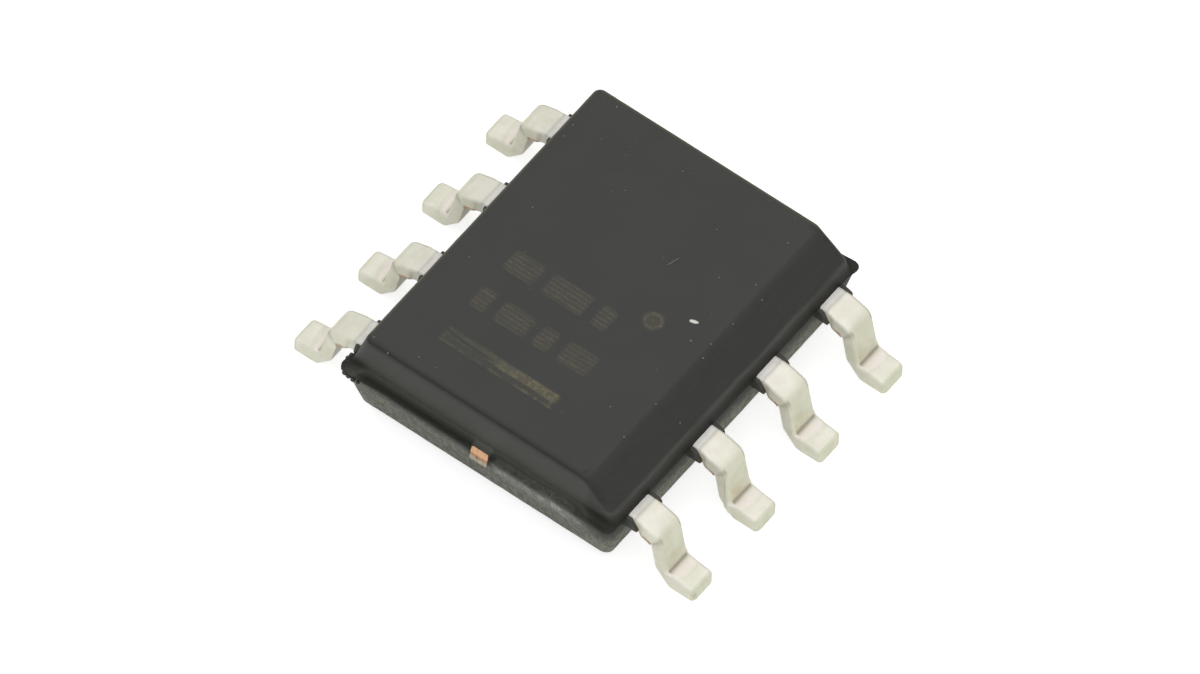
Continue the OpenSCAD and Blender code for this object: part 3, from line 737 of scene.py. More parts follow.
    # painted shade: the sloped and side faces, and the whole far row, get a darker, greener colour for the weaker light
    # on them
    slope_shade = np.zeros(len(V))
    sl = upper * smooth(2.30, 2.54, dd) * smooth(0.27, 0.34, zz)
    sl = np.maximum(sl, 0.16 * upper * smooth(2.62, 2.66, dd))
    if side > 0:
        sl = np.maximum(sl, 0.30 * upper)
    sl = np.maximum(sl, 0.55 * side_f)
    slope_shade[: n * m] = sl.ravel()
    slope_shade[n * m: n_out] = 1.25
    if i == 1:                                              # a stain at one corner of this tip
        stain = np.exp(-(((V[:n_out, 0] + 0.165) / 0.035) ** 2 + ((V[:n_out, 1] - 2.985) / 0.03) ** 2 + ((V[:n_out, 2] - 0.10) / 0.05) ** 2))
        crease[:n_out] = np.maximum(crease[:n_out], 0.55 * stain)
    pink_and_valley_shade = np.zeros(len(V))                                  # the pinker dish behind the valley, and the valley itself painted darker as shade in its dip
    pk = upper * smooth(2.63, 2.66, dd) * smooth(vy - 0.005, vy - 0.045, arc)
    pink_and_valley_shade[: n * m] = (pk - 0.8 * upper * bump1(arc, vy + 0.004, 0.016) * (0.5 + 0.5 * und)).ravel()
    # into the row frame
    W = V.copy()
    W[:, 1] = V[:, 1] * side
    # the plan's finger is symmetric, so X needs no mirror
    W[:, 0] = V[:, 0] + lead_x(i)
    if side < 0:
        F = [tuple(reversed(f)) for f in faces]
    else:
        F = faces
    o = make_object("lead_%d_formed" % i, W, F, attrs={"cut": cut_v, "near": near_v, "crease": crease, "heel": heel, "slope_shade": slope_shade, "pink_and_valley_shade": pink_and_valley_shade}, mats=mats)
    return o


# ---------------------------------------------------------------------------
# resin nubs beside the leads, specks of dust
# ---------------------------------------------------------------------------
def blob(center, half, power=3.2, nu=22, nv=14, seed=1, rough=0.08, cell=0.05, turn=0.0):
    """Closed, slightly uneven rounded lump: verts and faces (mm)."""
    verts, faces = [], []
    ct, st_ = math.cos(turn), math.sin(turn)

    def sp(v, p):
        return math.copysign(abs(v) ** (2.0 / p), v)

    def put(cu, su, cv, sv):
        d = np.array([sp(cv, power) * sp(cu, power), sp(cv, power) * sp(su, power), sp(sv, power)])
        p = d * half
        return np.array([p[0] * ct - p[1] * st_, p[0] * st_ + p[1] * ct, p[2]])

    verts.append(put(1, 0, 0, -1))
    for j in range(1, nv):
        v = -math.pi / 2 + math.pi * j / nv
        for i in range(nu):
            u = 2 * math.pi * i / nu
            verts.append(put(math.cos(u), math.sin(u), math.cos(v), math.sin(v)))
    verts.append(put(1, 0, 0, 1))
    V = np.array(verts)
    n = 1 + rough * fbm(V + np.array(center), cell, seed)
    V = V * n[:, None] + np.array(center)
    for i in range(nu):
        faces.append((0, 1 + (i + 1) % nu, 1 + i))
    for j in range(nv - 2):
        for i in range(nu):
            a, b = 1 + j * nu + i, 1 + j * nu + (i + 1) % nu
            faces.append((a, b, b + nu, a + nu))
    top = len(V) - 1
    for i in range(nu):
        a, b = 1 + (nv - 2) * nu + i, 1 + (nv - 2) * nu + (i + 1) % nu
        faces.append((a, b, top))
    return V, faces


def nub(x0, sx, side, y1, w, drop, seed, ns=14):
    """Resin left between a lead's flank and the mould: flush with the flank, falling off outwards."""
    y0 = 1.90
    nu = 26
    V, F, brown = [], [], []
    for k in range(ns + 1):
        t = k / ns
        u = min(t / 0.82, 1.0)
        cap = 0.0 if t <= 0.82 else (t - 0.82) / 0.18
        sh = math.sqrt(max(1 - cap ** 2.2, 0.02))
        y = y0 + (y1 - y0) * (0.90 * u + 0.10 * math.sin(cap * math.pi / 2))
        f = smooth(2.05, y1 + 0.01, np.array([y]))[0]
        zt, zb = PART_Z - 0.008 - drop * f, STRIP_Z + 0.006 - 0.008 * f
        wide = w * (1.12 - 0.22 * f)
        for q in range(nu):
            an = 2 * math.pi * q / nu
            c, s_ = math.cos(an), math.sin(an)
            c, s_ = math.copysign(abs(c) ** 0.62, c), math.copysign(abs(s_) ** 0.62, s_)
            xx = x0 + sx * ((wide - 0.016) / 2 + (wide + 0.016) / 2 * c * sh)
            zz = (zt + zb) / 2 + (zt - zb) / 2 * s_ * sh
            V.append((xx, side * y, zz))
            brown.append(f)
    V = np.array(V)
    V = V + 0.0032 * np.stack([fbm(V, 0.035, seed), 0.5 * fbm(V, 0.035, seed + 50), fbm(V, 0.035, seed + 90)], 1)
    for k in range(ns):
        for q in range(nu):
            q1 = (q + 1) % nu
            F.append((k * nu + q, k * nu + q1, (k + 1) * nu + q1, (k + 1) * nu + q))
    F.append(tuple(reversed(range(nu))))
    F.append(tuple(ns * nu + q for q in range(nu)))
    if sx * side > 0:
        F = [tuple(reversed(f)) for f in F]
    return V, F, np.array(brown)


def join_parts(parts):
    """[(verts, faces)] to one vertex and face list."""
    V, F, n = [], [], 0
    for v, f in parts:
        V.append(v)
        F += [tuple(int(i) + n for i in q) for q in f]
        n += len(v)
    return np.concatenate(V), F


# ---------------------------------------------------------------------------
# die pad with its tie bars, the ends sheared
# ---------------------------------------------------------------------------
def build_pad(mats):
    pad_top = float(PAD_HI[2]) - 0.20
    parts = []
    # pad: a stamped plate with softened edges
    px, py = 1.45, 1.10
    outline = rounded_poly([(0, py), (px, py, 0.05, 5), (px, 0)])[1:-1]
    quad = [(x, y) for x, y in outline]
    full = quad + [(x, -y) for x, y in reversed(quad)] + [(-x, -y) for x, y in quad] + [(-x, y) for x, y in reversed(quad)]
    full = np.array(full)
    prof = [(0.018, 0.0), (0.004, 0.006), (0.0, 0.02), (0.0, STRIP_T - 0.02), (0.006, STRIP_T - 0.005), (0.02, STRIP_T)]
    V, F = [], []
    k = len(full)
    for inset, h in prof:
        q = full - np.sign(full) * inset
        V.append(np.column_stack([q, np.full(k, pad_top - STRIP_T + h)]))
    V = np.concatenate(V)
    for j in range(len(prof) - 1):
        for i in range(k):
            i1 = (i + 1) % k
            F.append((j * k + i, (j + 1) * k + i, (j + 1) * k + i1, j * k + i1))
    F.append(tuple(range(k)))
    F.append(tuple(reversed([(len(prof) - 1) * k + i for i in range(k)])))
    parts.append((V, F))
    n_pad = len(V)
    # tie bars
    for sx in (1, -1):
        top = rounded_poly([(1.28, pad_top), (1.72, pad_top, 0.10, 5), (1.96, PART_Z, 0.10, 5), (HALF_L - 0.042, PART_Z, 0.010, 5), (HALF_L - 0.028, PART_Z - 0.075)])
        bot = rounded_poly([(1.28, pad_top - STRIP_T), (1.75, pad_top - STRIP_T, 0.10, 5), (1.99, STRIP_Z, 0.10, 5), (HALF_L - 0.030, STRIP_Z, 0.01, 4), (HALF_L - 0.004, STRIP_Z - 0.004)])
        n = 60
        wt = arclen(top)
        wb = arclen(bot)
        s = np.concatenate([np.linspace(0, 0.80, 30), np.linspace(0.80, 1.0, n - 29)[1:]])
        T = np.stack([np.interp(s * wt[-1], wt, top[:, 0]), np.interp(s * wt[-1], wt, top[:, 1])], 1)
        B = np.stack([np.interp(s * wb[-1], wb, bot[:, 0]), np.interp(s * wb[-1], wb, bot[:, 1])], 1)
        # across: rounded section
        na, nh = 18, 8
        hw, r = TIE_HALF, 0.018
        ring = []
        for q in range(na + 1):
            ring.append((-hw + r + (2 * hw - 2 * r) * q / na, 1.0))
        for q in range(1, 4):
            an = q / 4 * math.pi / 2
            ring.append((hw - r + r * math.sin(an), 1 - 0.09 * (1 - math.cos(an))))
        for q in range(nh + 1):
            ring.append((hw, 0.91 - 0.86 * q / nh))
        for q in range(na + 1):
            ring.append((hw - 0.006 - (2 * hw - 0.012) * q / na, 0.0))
        for q in range(nh + 1):
            ring.append((-hw, 0.05 + 0.86 * q / nh))
        for q in range(1, 4):
            an = q / 4 * math.pi / 2
            ring.append((-hw + r - r * math.cos(an), 0.91 + 0.09 * math.sin(an)))
        m = len(ring)
        P = np.zeros((n, m, 3))
        for st in range(n):
            for q, (a, h) in enumerate(ring):
                p = B[st] + (T[st] - B[st]) * h
                P[st, q] = (p[0], a, p[1])
        W = P.reshape(-1, 3)
        W = W + 0.0015 * fbm(W * [sx, 1, 1], 0.06, 301)[:, None] * np.array([0.3, 1, 0.5])
        F = []
        for st in range(n - 1):
            for q in range(m):
                q1 = (q + 1) % m
                F.append((st * m + q, (st + 1) * m + q, (st + 1) * m + q1, st * m + q1))
        # end face: rings shrinking towards the middle, with shear marks
        prev, base = (n - 1) * m, n * m
        last = W[prev:prev + m]
        cy, cz = 0.0, (last[:, 2].max() + last[:, 2].min()) / 2
        V = [W]
        for f in (0.92, 0.80, 0.66, 0.50, 0.34, 0.18, 0.015):
            rg = last.copy()
            rg[:, 1] = last[:, 1] * (1 - (1 - f) * 0.62)
            rg[:, 2] = cz + (last[:, 2] - cz) * f
            lean = (PART_Z - 0.075 - rg[:, 2]) / 0.12
            rg[:, 0] = HALF_L - 0.028 + 0.024 * np.clip(lean, 0, 1) + 0.0035 * noise3(np.stack([rg[:, 1] * 2.5, rg[:, 2] * 0.4, rg[:, 2] * 0], 1), 0.03, 303)
            V.append(rg)
            for q in range(m):
                q1 = (q + 1) % m
                F.append((prev + q, base + q, base + q1, prev + q1))
            prev = base
            base += m
        F.append(tuple(prev + q for q in range(m)))
        F.append(tuple(reversed(range(m))))
        W = np.concatenate(V)
        W[:, 1] += TIE_Y
        if sx < 0:
            W = W * [-1, 1, 1]
            F = [tuple(reversed(f)) for f in F]
        parts.append((W, F))
    V, F = join_parts(parts)
    band = np.where(np.abs(V[:, 0]) > 2.3, 1.0, 0.0)
    return make_object("die_pad_formed", V, F, attrs={"cut": band}, mats=mats)


# ---------------------------------------------------------------------------
# materials
# ---------------------------------------------------------------------------
class Mat:
    def __init__(self, name):
        self.m = bpy.data.materials.new(name)
        self.m.use_nodes = True
        self.t = self.m.node_tree
        self.t.nodes.clear()
        self.out = self.t.nodes.new("ShaderNodeOutputMaterial")
        self.bsdf = self.t.nodes.new("ShaderNodeBsdfPrincipled")
        self.link(self.bsdf.outputs[0], self.out.inputs["Surface"])
        tc = self.t.nodes.new("ShaderNodeTexCoord")
        sc = self.t.nodes.new("ShaderNodeVectorMath")
        sc.operation = "SCALE"
        sc.inputs["Scale"].default_value = 1000.0
        self.link(tc.outputs["Object"], sc.inputs[0])
        self.co = sc.outputs[0]                             # object coordinates in mm

    def link(self, a, b):
        self.t.links.new(a, b)

    def set(self, **kw):
        for k, v in kw.items():
            s = self.bsdf.inputs[k.replace("_", " ")]
            if hasattr(v, "is_output"):
                self.link(v, s)
            else:
                s.default_value = v

    def _put(self, v, sock):
        if hasattr(v, "is_output"):
            self.link(v, sock)
        else:
            sock.default_value = v

    def math(self, op, a, b=0.0, c=None, clamp=False):
        n = self.t.nodes.new("ShaderNodeMath")
        n.operation = op
        n.use_clamp = clamp
        self._put(a, n.inputs[0])
        self._put(b, n.inputs[1])
        if c is not None:
            self._put(c, n.inputs[2])
        return n.outputs[0]

    def scaled(self, v):
        n = self.t.nodes.new("ShaderNodeVectorMath")
        n.operation = "MULTIPLY"
        self.link(self.co, n.inputs[0])
        n.inputs[1].default_value = v
        return n.outputs[0]

    def noise(self, scale, detail=3.0, rough=0.55, vec=None, dist=0.0, w=None):
        n = self.t.nodes.new("ShaderNodeTexNoise")
        n.inputs["Scale"].default_value = scale
        n.inputs["Detail"].default_value = detail
        n.inputs["Roughness"].default_value = rough
        n.inputs["Distortion"].default_value = dist
        if w is not None:
            n.noise_dimensions = "4D"
            n.inputs["W"].default_value = w
        self.link(vec if vec is not None else self.co, n.inputs["Vector"])
        return n.outputs["Fac"]

    def voronoi(self, scale, feature="F1", out="Distance", vec=None, rand=1.0):
        n = self.t.nodes.new("ShaderNodeTexVoronoi")
        n.feature = feature
        n.inputs["Scale"].default_value = scale
        n.inputs["Randomness"].default_value = rand
        self.link(vec if vec is not None else self.co, n.inputs["Vector"])
        return n.outputs[out]

    def remap(self, v, a, b, c=0.0, d=1.0, smooth_=True):
        n = self.t.nodes.new("ShaderNodeMapRange")
        n.interpolation_type = "SMOOTHSTEP" if smooth_ else "LINEAR"
        n.clamp = True
        self.link(v, n.inputs[0])
        for k, x in zip((1, 2, 3, 4), (a, b, c, d)):
            n.inputs[k].default_value = x
        return n.outputs[0]

    def mix(self, f, a, b, mode="MIX"):
        n = self.t.nodes.new("ShaderNodeMix")
        n.data_type = "RGBA"
        n.blend_type = mode
        self._put(f, n.inputs["Factor"])
        for v, k in ((a, 6), (b, 7)):
            self._put(v if hasattr(v, "is_output") else (*v, 1.0), n.inputs[k])
        return n.outputs[2]

    def attr(self, name):
        n = self.t.nodes.new("ShaderNodeAttribute")
        n.attribute_name = name
        return n.outputs["Fac"]

    def curve(self, v, lo, hi, pts):
        """Piecewise-linear table of a value between lo and hi."""
        n = self.t.nodes.new("ShaderNodeValToRGB")
        r = n.color_ramp
        r.interpolation = "LINEAR"
        pts = sorted(((p - lo) / (hi - lo), q) for p, q in pts)
        r.elements[0].position, r.elements[0].color = pts[0][0], (*[pts[0][1]] * 3, 1)
        r.elements[1].position, r.elements[1].color = pts[-1][0], (*[pts[-1][1]] * 3, 1)
        for p, q in pts[1:-1]:
            r.elements.new(p).color = (q, q, q, 1)
        self.link(self.remap(v, lo, hi, 0.0, 1.0, False), n.inputs[0])
        return n.outputs[0]

    def xyz(self):
        n = self.t.nodes.new("ShaderNodeSeparateXYZ")
        self.link(self.co, n.inputs[0])
        return n.outputs

    def bump(self, height, dist, strength=1.0, normal=None):
        n = self.t.nodes.new("ShaderNodeBump")
        n.inputs["Strength"].default_value = strength
        n.inputs["Distance"].default_value = dist
        self.link(height, n.inputs["Height"])
        if normal is not None:
            self.link(normal, n.inputs["Normal"])
        return n.outputs[0]


def mat_mould():
    k = Mat("mould_compound")
    x, y, z = k.xyz()
    low, flash, mark, wall, brown = (k.attr(n) for n in ("low", "flash", "mark", "wall", "brown"))
    cloud = k.noise(1.6, 3, 0.5)
    grain = k.noise(34, 3, 0.6)
    fine = k.noise(95, 2, 0.6)
    streak = k.noise(14, 3, 0.6, vec=k.scaled((0.14, 1.0, 1.0)))
    base = k.mix(k.remap(cloud, 0.35, 0.65), (0.0200, 0.0212, 0.0190), (0.0235, 0.0240, 0.0215))
    base = k.mix(k.remap(grain, 0.30, 0.72, 0, 0.50), base, (0.034, 0.034, 0.028))
    # painted light: the upper end walls (and partly the nubs) get a lighter colour for the light falling on them
    base = k.mix(k.math("MULTIPLY", wall, 0.75), base, k.mix(k.remap(grain, 0.3, 0.7), (0.041, 0.045, 0.034), (0.053, 0.057, 0.045)))
    # silica specks
    spots = k.voronoi(7.5)
    pick = k.voronoi(7.5, out="Color")
    sep = k.t.nodes.new("ShaderNodeSeparateColor")
    k.link(pick, sep.inputs[0])
    speck = k.math("MULTIPLY", k.remap(sep.outputs[0], 0.80, 0.83), k.remap(spots, 0.11, 0.05))
    base = k.mix(k.math("MULTIPLY", speck, 0.5), base, (0.085, 0.085, 0.075))
    tiny = k.math("MULTIPLY", k.remap(k.voronoi(26), 0.16, 0.06), k.remap(grain, 0.55, 0.68))
    base = k.mix(k.math("MULTIPLY", tiny, 0.26), base, (0.10, 0.10, 0.088))
    # the bevel is streaked along its length; its colour is painted darker as shade, and a painted highlight runs along
    # its foot
    bev = k.math("MULTIPLY", k.remap(y, TOP_YN - 0.01, TOP_YN - 0.10), k.remap(z, 1.10, 1.16))
    base = k.mix(k.math("MULTIPLY", bev, 0.55), base, (0.0120, 0.0120, 0.0085))
    base = k.mix(k.math("MULTIPLY", bev, k.remap(streak, 0.42, 0.64, 0.0, 0.22)), base, (0.030, 0.029, 0.022))
    # painted highlight along the foot of the bevel
    bevel_foot_highlight = k.math("MULTIPLY", k.remap(k.math("ABSOLUTE", k.math("SUBTRACT", z, BEV_Z - 0.006)), 0.040, 0.008), k.remap(y, TOP_YN - 0.25, TOP_YN - 0.34))
    base = k.mix(k.math("MULTIPLY", bevel_foot_highlight, k.remap(streak, 0.30, 0.60, 0.22, 0.62)), base, (0.062, 0.062, 0.052))
    yside, painted_edge_shade, free = k.attr("yside"), k.attr("painted_edge_shade"), k.attr("free")
    rag = k.noise(11, 3, 0.65)
    zw = k.math("ADD", z, k.math("MULTIPLY", k.math("MULTIPLY_ADD", rag, 0.16, -0.08), k.remap(z, PART_Z + 0.0, PART_Z - 0.05)))
    # the lower half is greener and coarser; its colour is painted darker towards the parting line and lighter towards
    # the underside, painted shade and painted floor reflection, and painted lighter on the Y sides than on the ends
    lv = k.scaled((1.0, 1.0, 0.62))
    blot = k.noise(15, 3, 0.6, vec=lv)
    fleck = k.noise(30, 3, 0.65, vec=lv)
    lowc = k.mix(k.remap(blot, 0.34, 0.66), (0.072, 0.075, 0.054), (0.150, 0.153, 0.122))
    lowc = k.mix(k.remap(fleck, 0.56, 0.70, 0, 0.40), lowc, (0.22, 0.22, 0.185))
    lowc = k.mix(k.remap(fleck, 0.44, 0.32, 0, 0.40), lowc, (0.040, 0.042, 0.030))
    # painted shade and painted floor reflection: tone against height, darkest near the parting line
    shade_ramp_end = k.curve(zw, 0.16, 1.00, [(0.16, 1.0), (0.60, 1.0), (0.68, 0.95), (0.74, 0.82), (0.78, 0.70), (0.82, 0.52), (0.86, 0.34), (0.90, 0.20), (0.94, 0.11), (0.98, 0.08)])
    shade_ramp_side = k.curve(zw, 0.16, 1.00, [(0.16, 1.0), (0.36, 1.0), (0.42, 0.98), (0.48, 0.88), (0.54, 0.76), (0.60, 0.62), (0.66, 0.46), (0.72, 0.34), (0.78, 0.26), (0.84, 0.19), (0.90, 0.13), (0.96, 0.08)])
    # painted light: the lower half of the Y sides is made lighter than on the ends
    lit_side_low = k.mix(1.0, lowc, (1.42, 1.42, 1.42), "MULTIPLY")
    painted_light_ramp = k.mix(yside, shade_ramp_end, shade_ramp_side)
    lowc = k.mix(1.0, k.mix(yside, lowc, lit_side_low), k.mix(free, painted_light_ramp, (0.55, 0.55, 0.55)), "MULTIPLY")
    base = k.mix(low, base, lowc)
    # shade gathers at the foot of the walls
    foot_end = k.math("MULTIPLY", k.remap(z, PART_Z + 0.055, PART_Z + 0.004), k.remap(z, PART_Z - 0.15, PART_Z - 0.03))
    foot_side = k.math("MULTIPLY", k.curve(z, 0.80, 1.20, [(0.80, 0.0), (0.86, 0.35), (0.97, 1.0), (1.02, 0.95), (1.06, 0.72), (1.10, 0.45), (1.14, 0.12), (1.17, 0.0), (1.20, 0.0)]), yside)
    nofl = k.remap(flash, 0.10, 0.50, 1.0, 0.42)
    band = k.math("MAXIMUM", k.math("MULTIPLY", k.math("MULTIPLY", foot_end, k.math("SUBTRACT", 1.0, yside)), nofl), foot_side)
    band = k.math("MULTIPLY", band, k.math("SUBTRACT", 1.0, free))
    base = k.mix(k.math("MULTIPLY", band, 0.86), base, (0.0105, 0.0100, 0.0070))
    # painted shade: the corner lines and the top edges of the ends are painted darker, standing in for the dark
    # reflection on their rounded edges
    base = k.mix(k.math("MULTIPLY", painted_edge_shade, 0.85), base, (0.0075, 0.0072, 0.0050))
    # painted highlight: a thin warm line along the far top edges, standing in for the glint on their rounded edges
    ex_ = k.math("MULTIPLY", k.remap(x, 2.262, 2.330), k.remap(z, TOP_Z - 0.05, TOP_Z - 0.01))
    ey_ = k.math("MULTIPLY", k.remap(y, TOP_YP - 0.050, TOP_YP + 0.006), k.remap(z, TOP_Z - 0.05, TOP_Z - 0.01))
    edge_glint = k.math("MULTIPLY", k.math("MAXIMUM", ex_, ey_), k.remap(x, -2.30, -2.15))
    base = k.mix(k.math("MULTIPLY", edge_glint, 0.80), base, (0.110, 0.100, 0.058))
    # whitened flash along the parting edge, in short upright streaks
    teeth = k.noise(26, 3, 0.6, vec=k.scaled((1.0, 1.0, 0.22)))
    patch = k.noise(9, 3, 0.55)
    zf = k.math("ADD", z, k.math("MULTIPLY_ADD", teeth, 0.26, -0.13))
    tall = k.curve(zf, 0.40, 1.00, [(0.40, 0.0), (0.52, 0.06), (0.60, 0.22), (0.66, 0.52), (0.72, 0.85), (0.78, 0.92), (0.84, 0.70), (0.90, 0.42), (0.95, 0.22), (0.99, 0.0)])
    fl = k.math("MULTIPLY", k.math("MULTIPLY", flash, tall), k.remap(teeth, 0.32, 0.66, 0.30, 1.20))
    fl = k.math("MULTIPLY", fl, k.remap(patch, 0.34, 0.60, 0.55, 1.10), clamp=True)
    base = k.mix(fl, base, k.mix(k.remap(grain, 0.3, 0.7), (0.32, 0.325, 0.300), (0.46, 0.465, 0.435)))
    # laser marks
    mk = k.math("MULTIPLY", mark, k.remap(k.noise(30, 4, 0.7), 0.30, 0.64, 0.35, 1.05), clamp=True)
    tint = k.mix(k.remap(k.noise(9, 2, 0.5), 0.40, 0.62), (0.150, 0.138, 0.076), (0.150, 0.124, 0.078))
    base = k.mix(mk, base, tint)
    base = k.mix(k.math("MULTIPLY", mark, -0.9, clamp=True), base, (0.0070, 0.0060, 0.0030))
    dots = k.math("MULTIPLY", k.remap(mark, 0.25, 0.6), k.remap(k.voronoi(19), 0.22, 0.08))
    base = k.mix(k.math("MULTIPLY", dots, 0.40), base, (0.22, 0.21, 0.12))
    # thin resin at the end of the nubs lets the copper tint through
    base = k.mix(k.remap(brown, 0.45, 0.95, 0, 0.85), base, (0.055, 0.034, 0.014))
    rough = k.remap(grain, 0.3, 0.7, 0.50, 0.60, False)
    rough = k.math("ADD", rough, k.math("MULTIPLY", low, 0.10))
    rough = k.math("ADD", rough, k.math("MULTIPLY", mk, 0.2), clamp=True)
    h = k.math("ADD", k.math("MULTIPLY", grain, 0.8), k.math("MULTIPLY", fine, 0.45))
    h = k.math("ADD", h, k.math("MULTIPLY", k.math("MULTIPLY", blot, low), 2.4))
    h = k.math("ADD", h, k.math("MULTIPLY", speck, 0.5))
    h = k.math("ADD", h, k.math("MULTIPLY", k.math("MULTIPLY", streak, bev), 0.8))
    k.set(Base_Color=base, Roughness=rough, Normal=k.bump(h, 0.0000022))
    dark = k.math("MAXIMUM", band, k.math("MAXIMUM", k.math("MULTIPLY", painted_edge_shade, 0.8), k.math("MULTIPLY", k.math("MULTIPLY", low, k.math("SUBTRACT", 1.0, painted_light_ramp)), 0.75)))
    k.set(Specular_IOR_Level=k.remap(dark, 0.0, 1.0, 0.50, 0.22, False), IOR=1.5)
    return k.m


def mat_tin():
    k = Mat("tin_plate")
    near, crease, cut, heel, slope_shade, pink_and_valley_shade = (k.attr(n) for n in ("near", "crease", "cut", "heel", "slope_shade", "pink_and_valley_shade"))
    cloud = k.noise(5.0, 3, 0.5)
    grain = k.noise(60, 3, 0.6)
    fine = k.noise(150, 2, 0.5)
    base = k.mix(k.remap(cloud, 0.34, 0.66), (0.80, 0.775, 0.675), (0.855, 0.83, 0.745))
    base = k.mix(k.remap(grain, 0.55, 0.75, 0, 0.30), base, (0.68, 0.67, 0.57))
    # painted shade on the sloped and side faces and on the far row
    base = k.mix(slope_shade, base, k.mix(k.remap(cloud, 0.34, 0.66), (0.69, 0.695, 0.545), (0.75, 0.75, 0.61)))
    base = k.mix(k.math("MULTIPLY", pink_and_valley_shade, 0.75, clamp=True), base, k.mix(k.remap(cloud, 0.34, 0.66), (0.84, 0.775, 0.715), (0.86, 0.80, 0.745)))
    # painted shade along the valley across the foot
    base = k.mix(k.math("MULTIPLY", pink_and_valley_shade, -0.40, clamp=True), base, (0.55, 0.53, 0.42))
    base = k.mix(k.math("MULTIPLY", near, 0.8), base, k.mix(k.remap(cloud, 0.3, 0.7), (0.70, 0.685, 0.655), (0.80, 0.785, 0.755)))
    base = k.mix(k.math("MULTIPLY", heel, k.remap(k.noise(8, 2), 0.35, 0.62, 0.15, 0.75)), base, (0.66, 0.56, 0.38))
    # painted shade in the heel's inner bend, plus real dark lines and a stain
    base = k.mix(k.math("MULTIPLY", crease, 0.85), base, (0.27, 0.24, 0.16))
    cu = k.math("MULTIPLY", cut, k.remap(k.noise(18, 3, 0.6), 0.30, 0.58, 0.45, 1.0), clamp=True)
    base = k.mix(cu, base, k.mix(k.remap(cloud, 0.42, 0.58), (0.34, 0.20, 0.085), (0.48, 0.24, 0.10)))
    rough = k.remap(grain, 0.3, 0.7, 0.56, 0.70, False)
    h = k.math("ADD", k.math("MULTIPLY", grain, 1.0), k.math("MULTIPLY", fine, 0.6))
    h = k.math("ADD", h, k.math("MULTIPLY", cloud, 1.5))
    k.set(Base_Color=base, Roughness=rough, Metallic=0.45, Normal=k.bump(h, 0.0000016))
    return k.m


def mat_copper():
    k = Mat("frame_copper")
    x, y, z = k.xyz()
    cut = k.attr("cut")
    grain = k.noise(40, 3, 0.6)
    shear = k.noise(22, 2, 0.5, vec=k.scaled((1.0, 1.6, 0.25)))
    base = k.mix(k.remap(grain, 0.3, 0.7), (0.72, 0.40, 0.235), (0.80, 0.50, 0.31))
    band = k.mix(k.remap(shear, 0.3, 0.7), (0.66, 0.375, 0.205), (0.74, 0.46, 0.275))
    brown = k.mix(k.remap(shear, 0.3, 0.7), (0.36, 0.17, 0.085), (0.50, 0.27, 0.15))
    burr = k.mix(k.remap(shear, 0.3, 0.7), (0.33, 0.28, 0.20), (0.47, 0.42, 0.32))
    wob = k.math("ADD", z, k.math("MULTIPLY_ADD", grain, 0.016, -0.008))
    c = k.mix(k.remap(wob, 0.856, 0.872), brown, band)
    c = k.mix(k.remap(wob, 0.832, 0.818), c, burr)
    base = k.mix(cut, base, c)
    k.set(Base_Color=base, Metallic=0.7, Roughness=k.remap(grain, 0.3, 0.7, 0.34, 0.5, False), Normal=k.bump(k.math("ADD", grain, shear), 0.0000020))
    return k.m


def mat_gold():
    k = Mat("bond_gold")
    g = k.noise(40, 2, 0.5)
    k.set(Base_Color=k.mix(k.remap(g, 0.3, 0.7), (0.90, 0.62, 0.20), (0.97, 0.74, 0.32)), Metallic=1.0,
          Roughness=k.remap(g, 0.3, 0.7, 0.16, 0.26, False), Normal=k.bump(g, 0.0000004))
    return k.m


def mat_silicon():
    k = Mat("silicon_die")
    x, y, z = k.xyz()
    g = k.noise(30, 3, 0.5)
    cells = k.voronoi(3.2, out="Color", rand=0.0)
    sep = k.t.nodes.new("ShaderNodeSeparateColor")
    k.link(cells, sep.inputs[0])
    blk = k.mix(k.remap(sep.outputs[1], 0.3, 0.7), (0.12, 0.13, 0.17), (0.20, 0.19, 0.23))
    side = k.mix(k.remap(g, 0.3, 0.7), (0.16, 0.165, 0.18), (0.22, 0.225, 0.24))
    hi = float(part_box("die")[1][2]) / MM
    c = k.mix(k.remap(z, hi - 0.003, hi - 0.001), side, blk)
    k.set(Base_Color=c, Metallic=0.35, Roughness=k.remap(g, 0.3, 0.7, 0.14, 0.26, False), Normal=k.bump(g, 0.0000003))
    return k.m


def mat_glue():
    k = Mat("silver_epoxy")
    g = k.noise(26, 4, 0.6)
    k.set(Base_Color=k.mix(k.remap(g, 0.3, 0.7), (0.46, 0.46, 0.44), (0.66, 0.66, 0.63)), Metallic=0.5,
          Roughness=k.remap(g, 0.3, 0.7, 0.38, 0.6, False), Normal=k.bump(g, 0.0000020))
    return k.m


def mat_dust(name="dust", a=(0.50, 0.50, 0.45), b=(0.78, 0.78, 0.72)):
    k = Mat(name)
    g = k.noise(60, 3, 0.6)
    k.set(Base_Color=k.mix(k.remap(g, 0.3, 0.7), a, b), Roughness=k.remap(g, 0.3, 0.7, 0.5, 0.7, False),
          Normal=k.bump(g, 0.0000015))
    return k.m


M_MOULD, M_TIN, M_CU, M_GOLD, M_SI, M_GLUE = mat_mould(), mat_tin(), mat_copper(), mat_gold(), mat_silicon(), mat_glue()
M_DUST, M_FAINT = mat_dust(), mat_dust("dust_faint", (0.070, 0.075, 0.072), (0.150, 0.155, 0.150))


# ---------------------------------------------------------------------------
# put the object together
# ---------------------------------------------------------------------------
body = build_body([M_MOULD, M_DUST, M_FAINT])

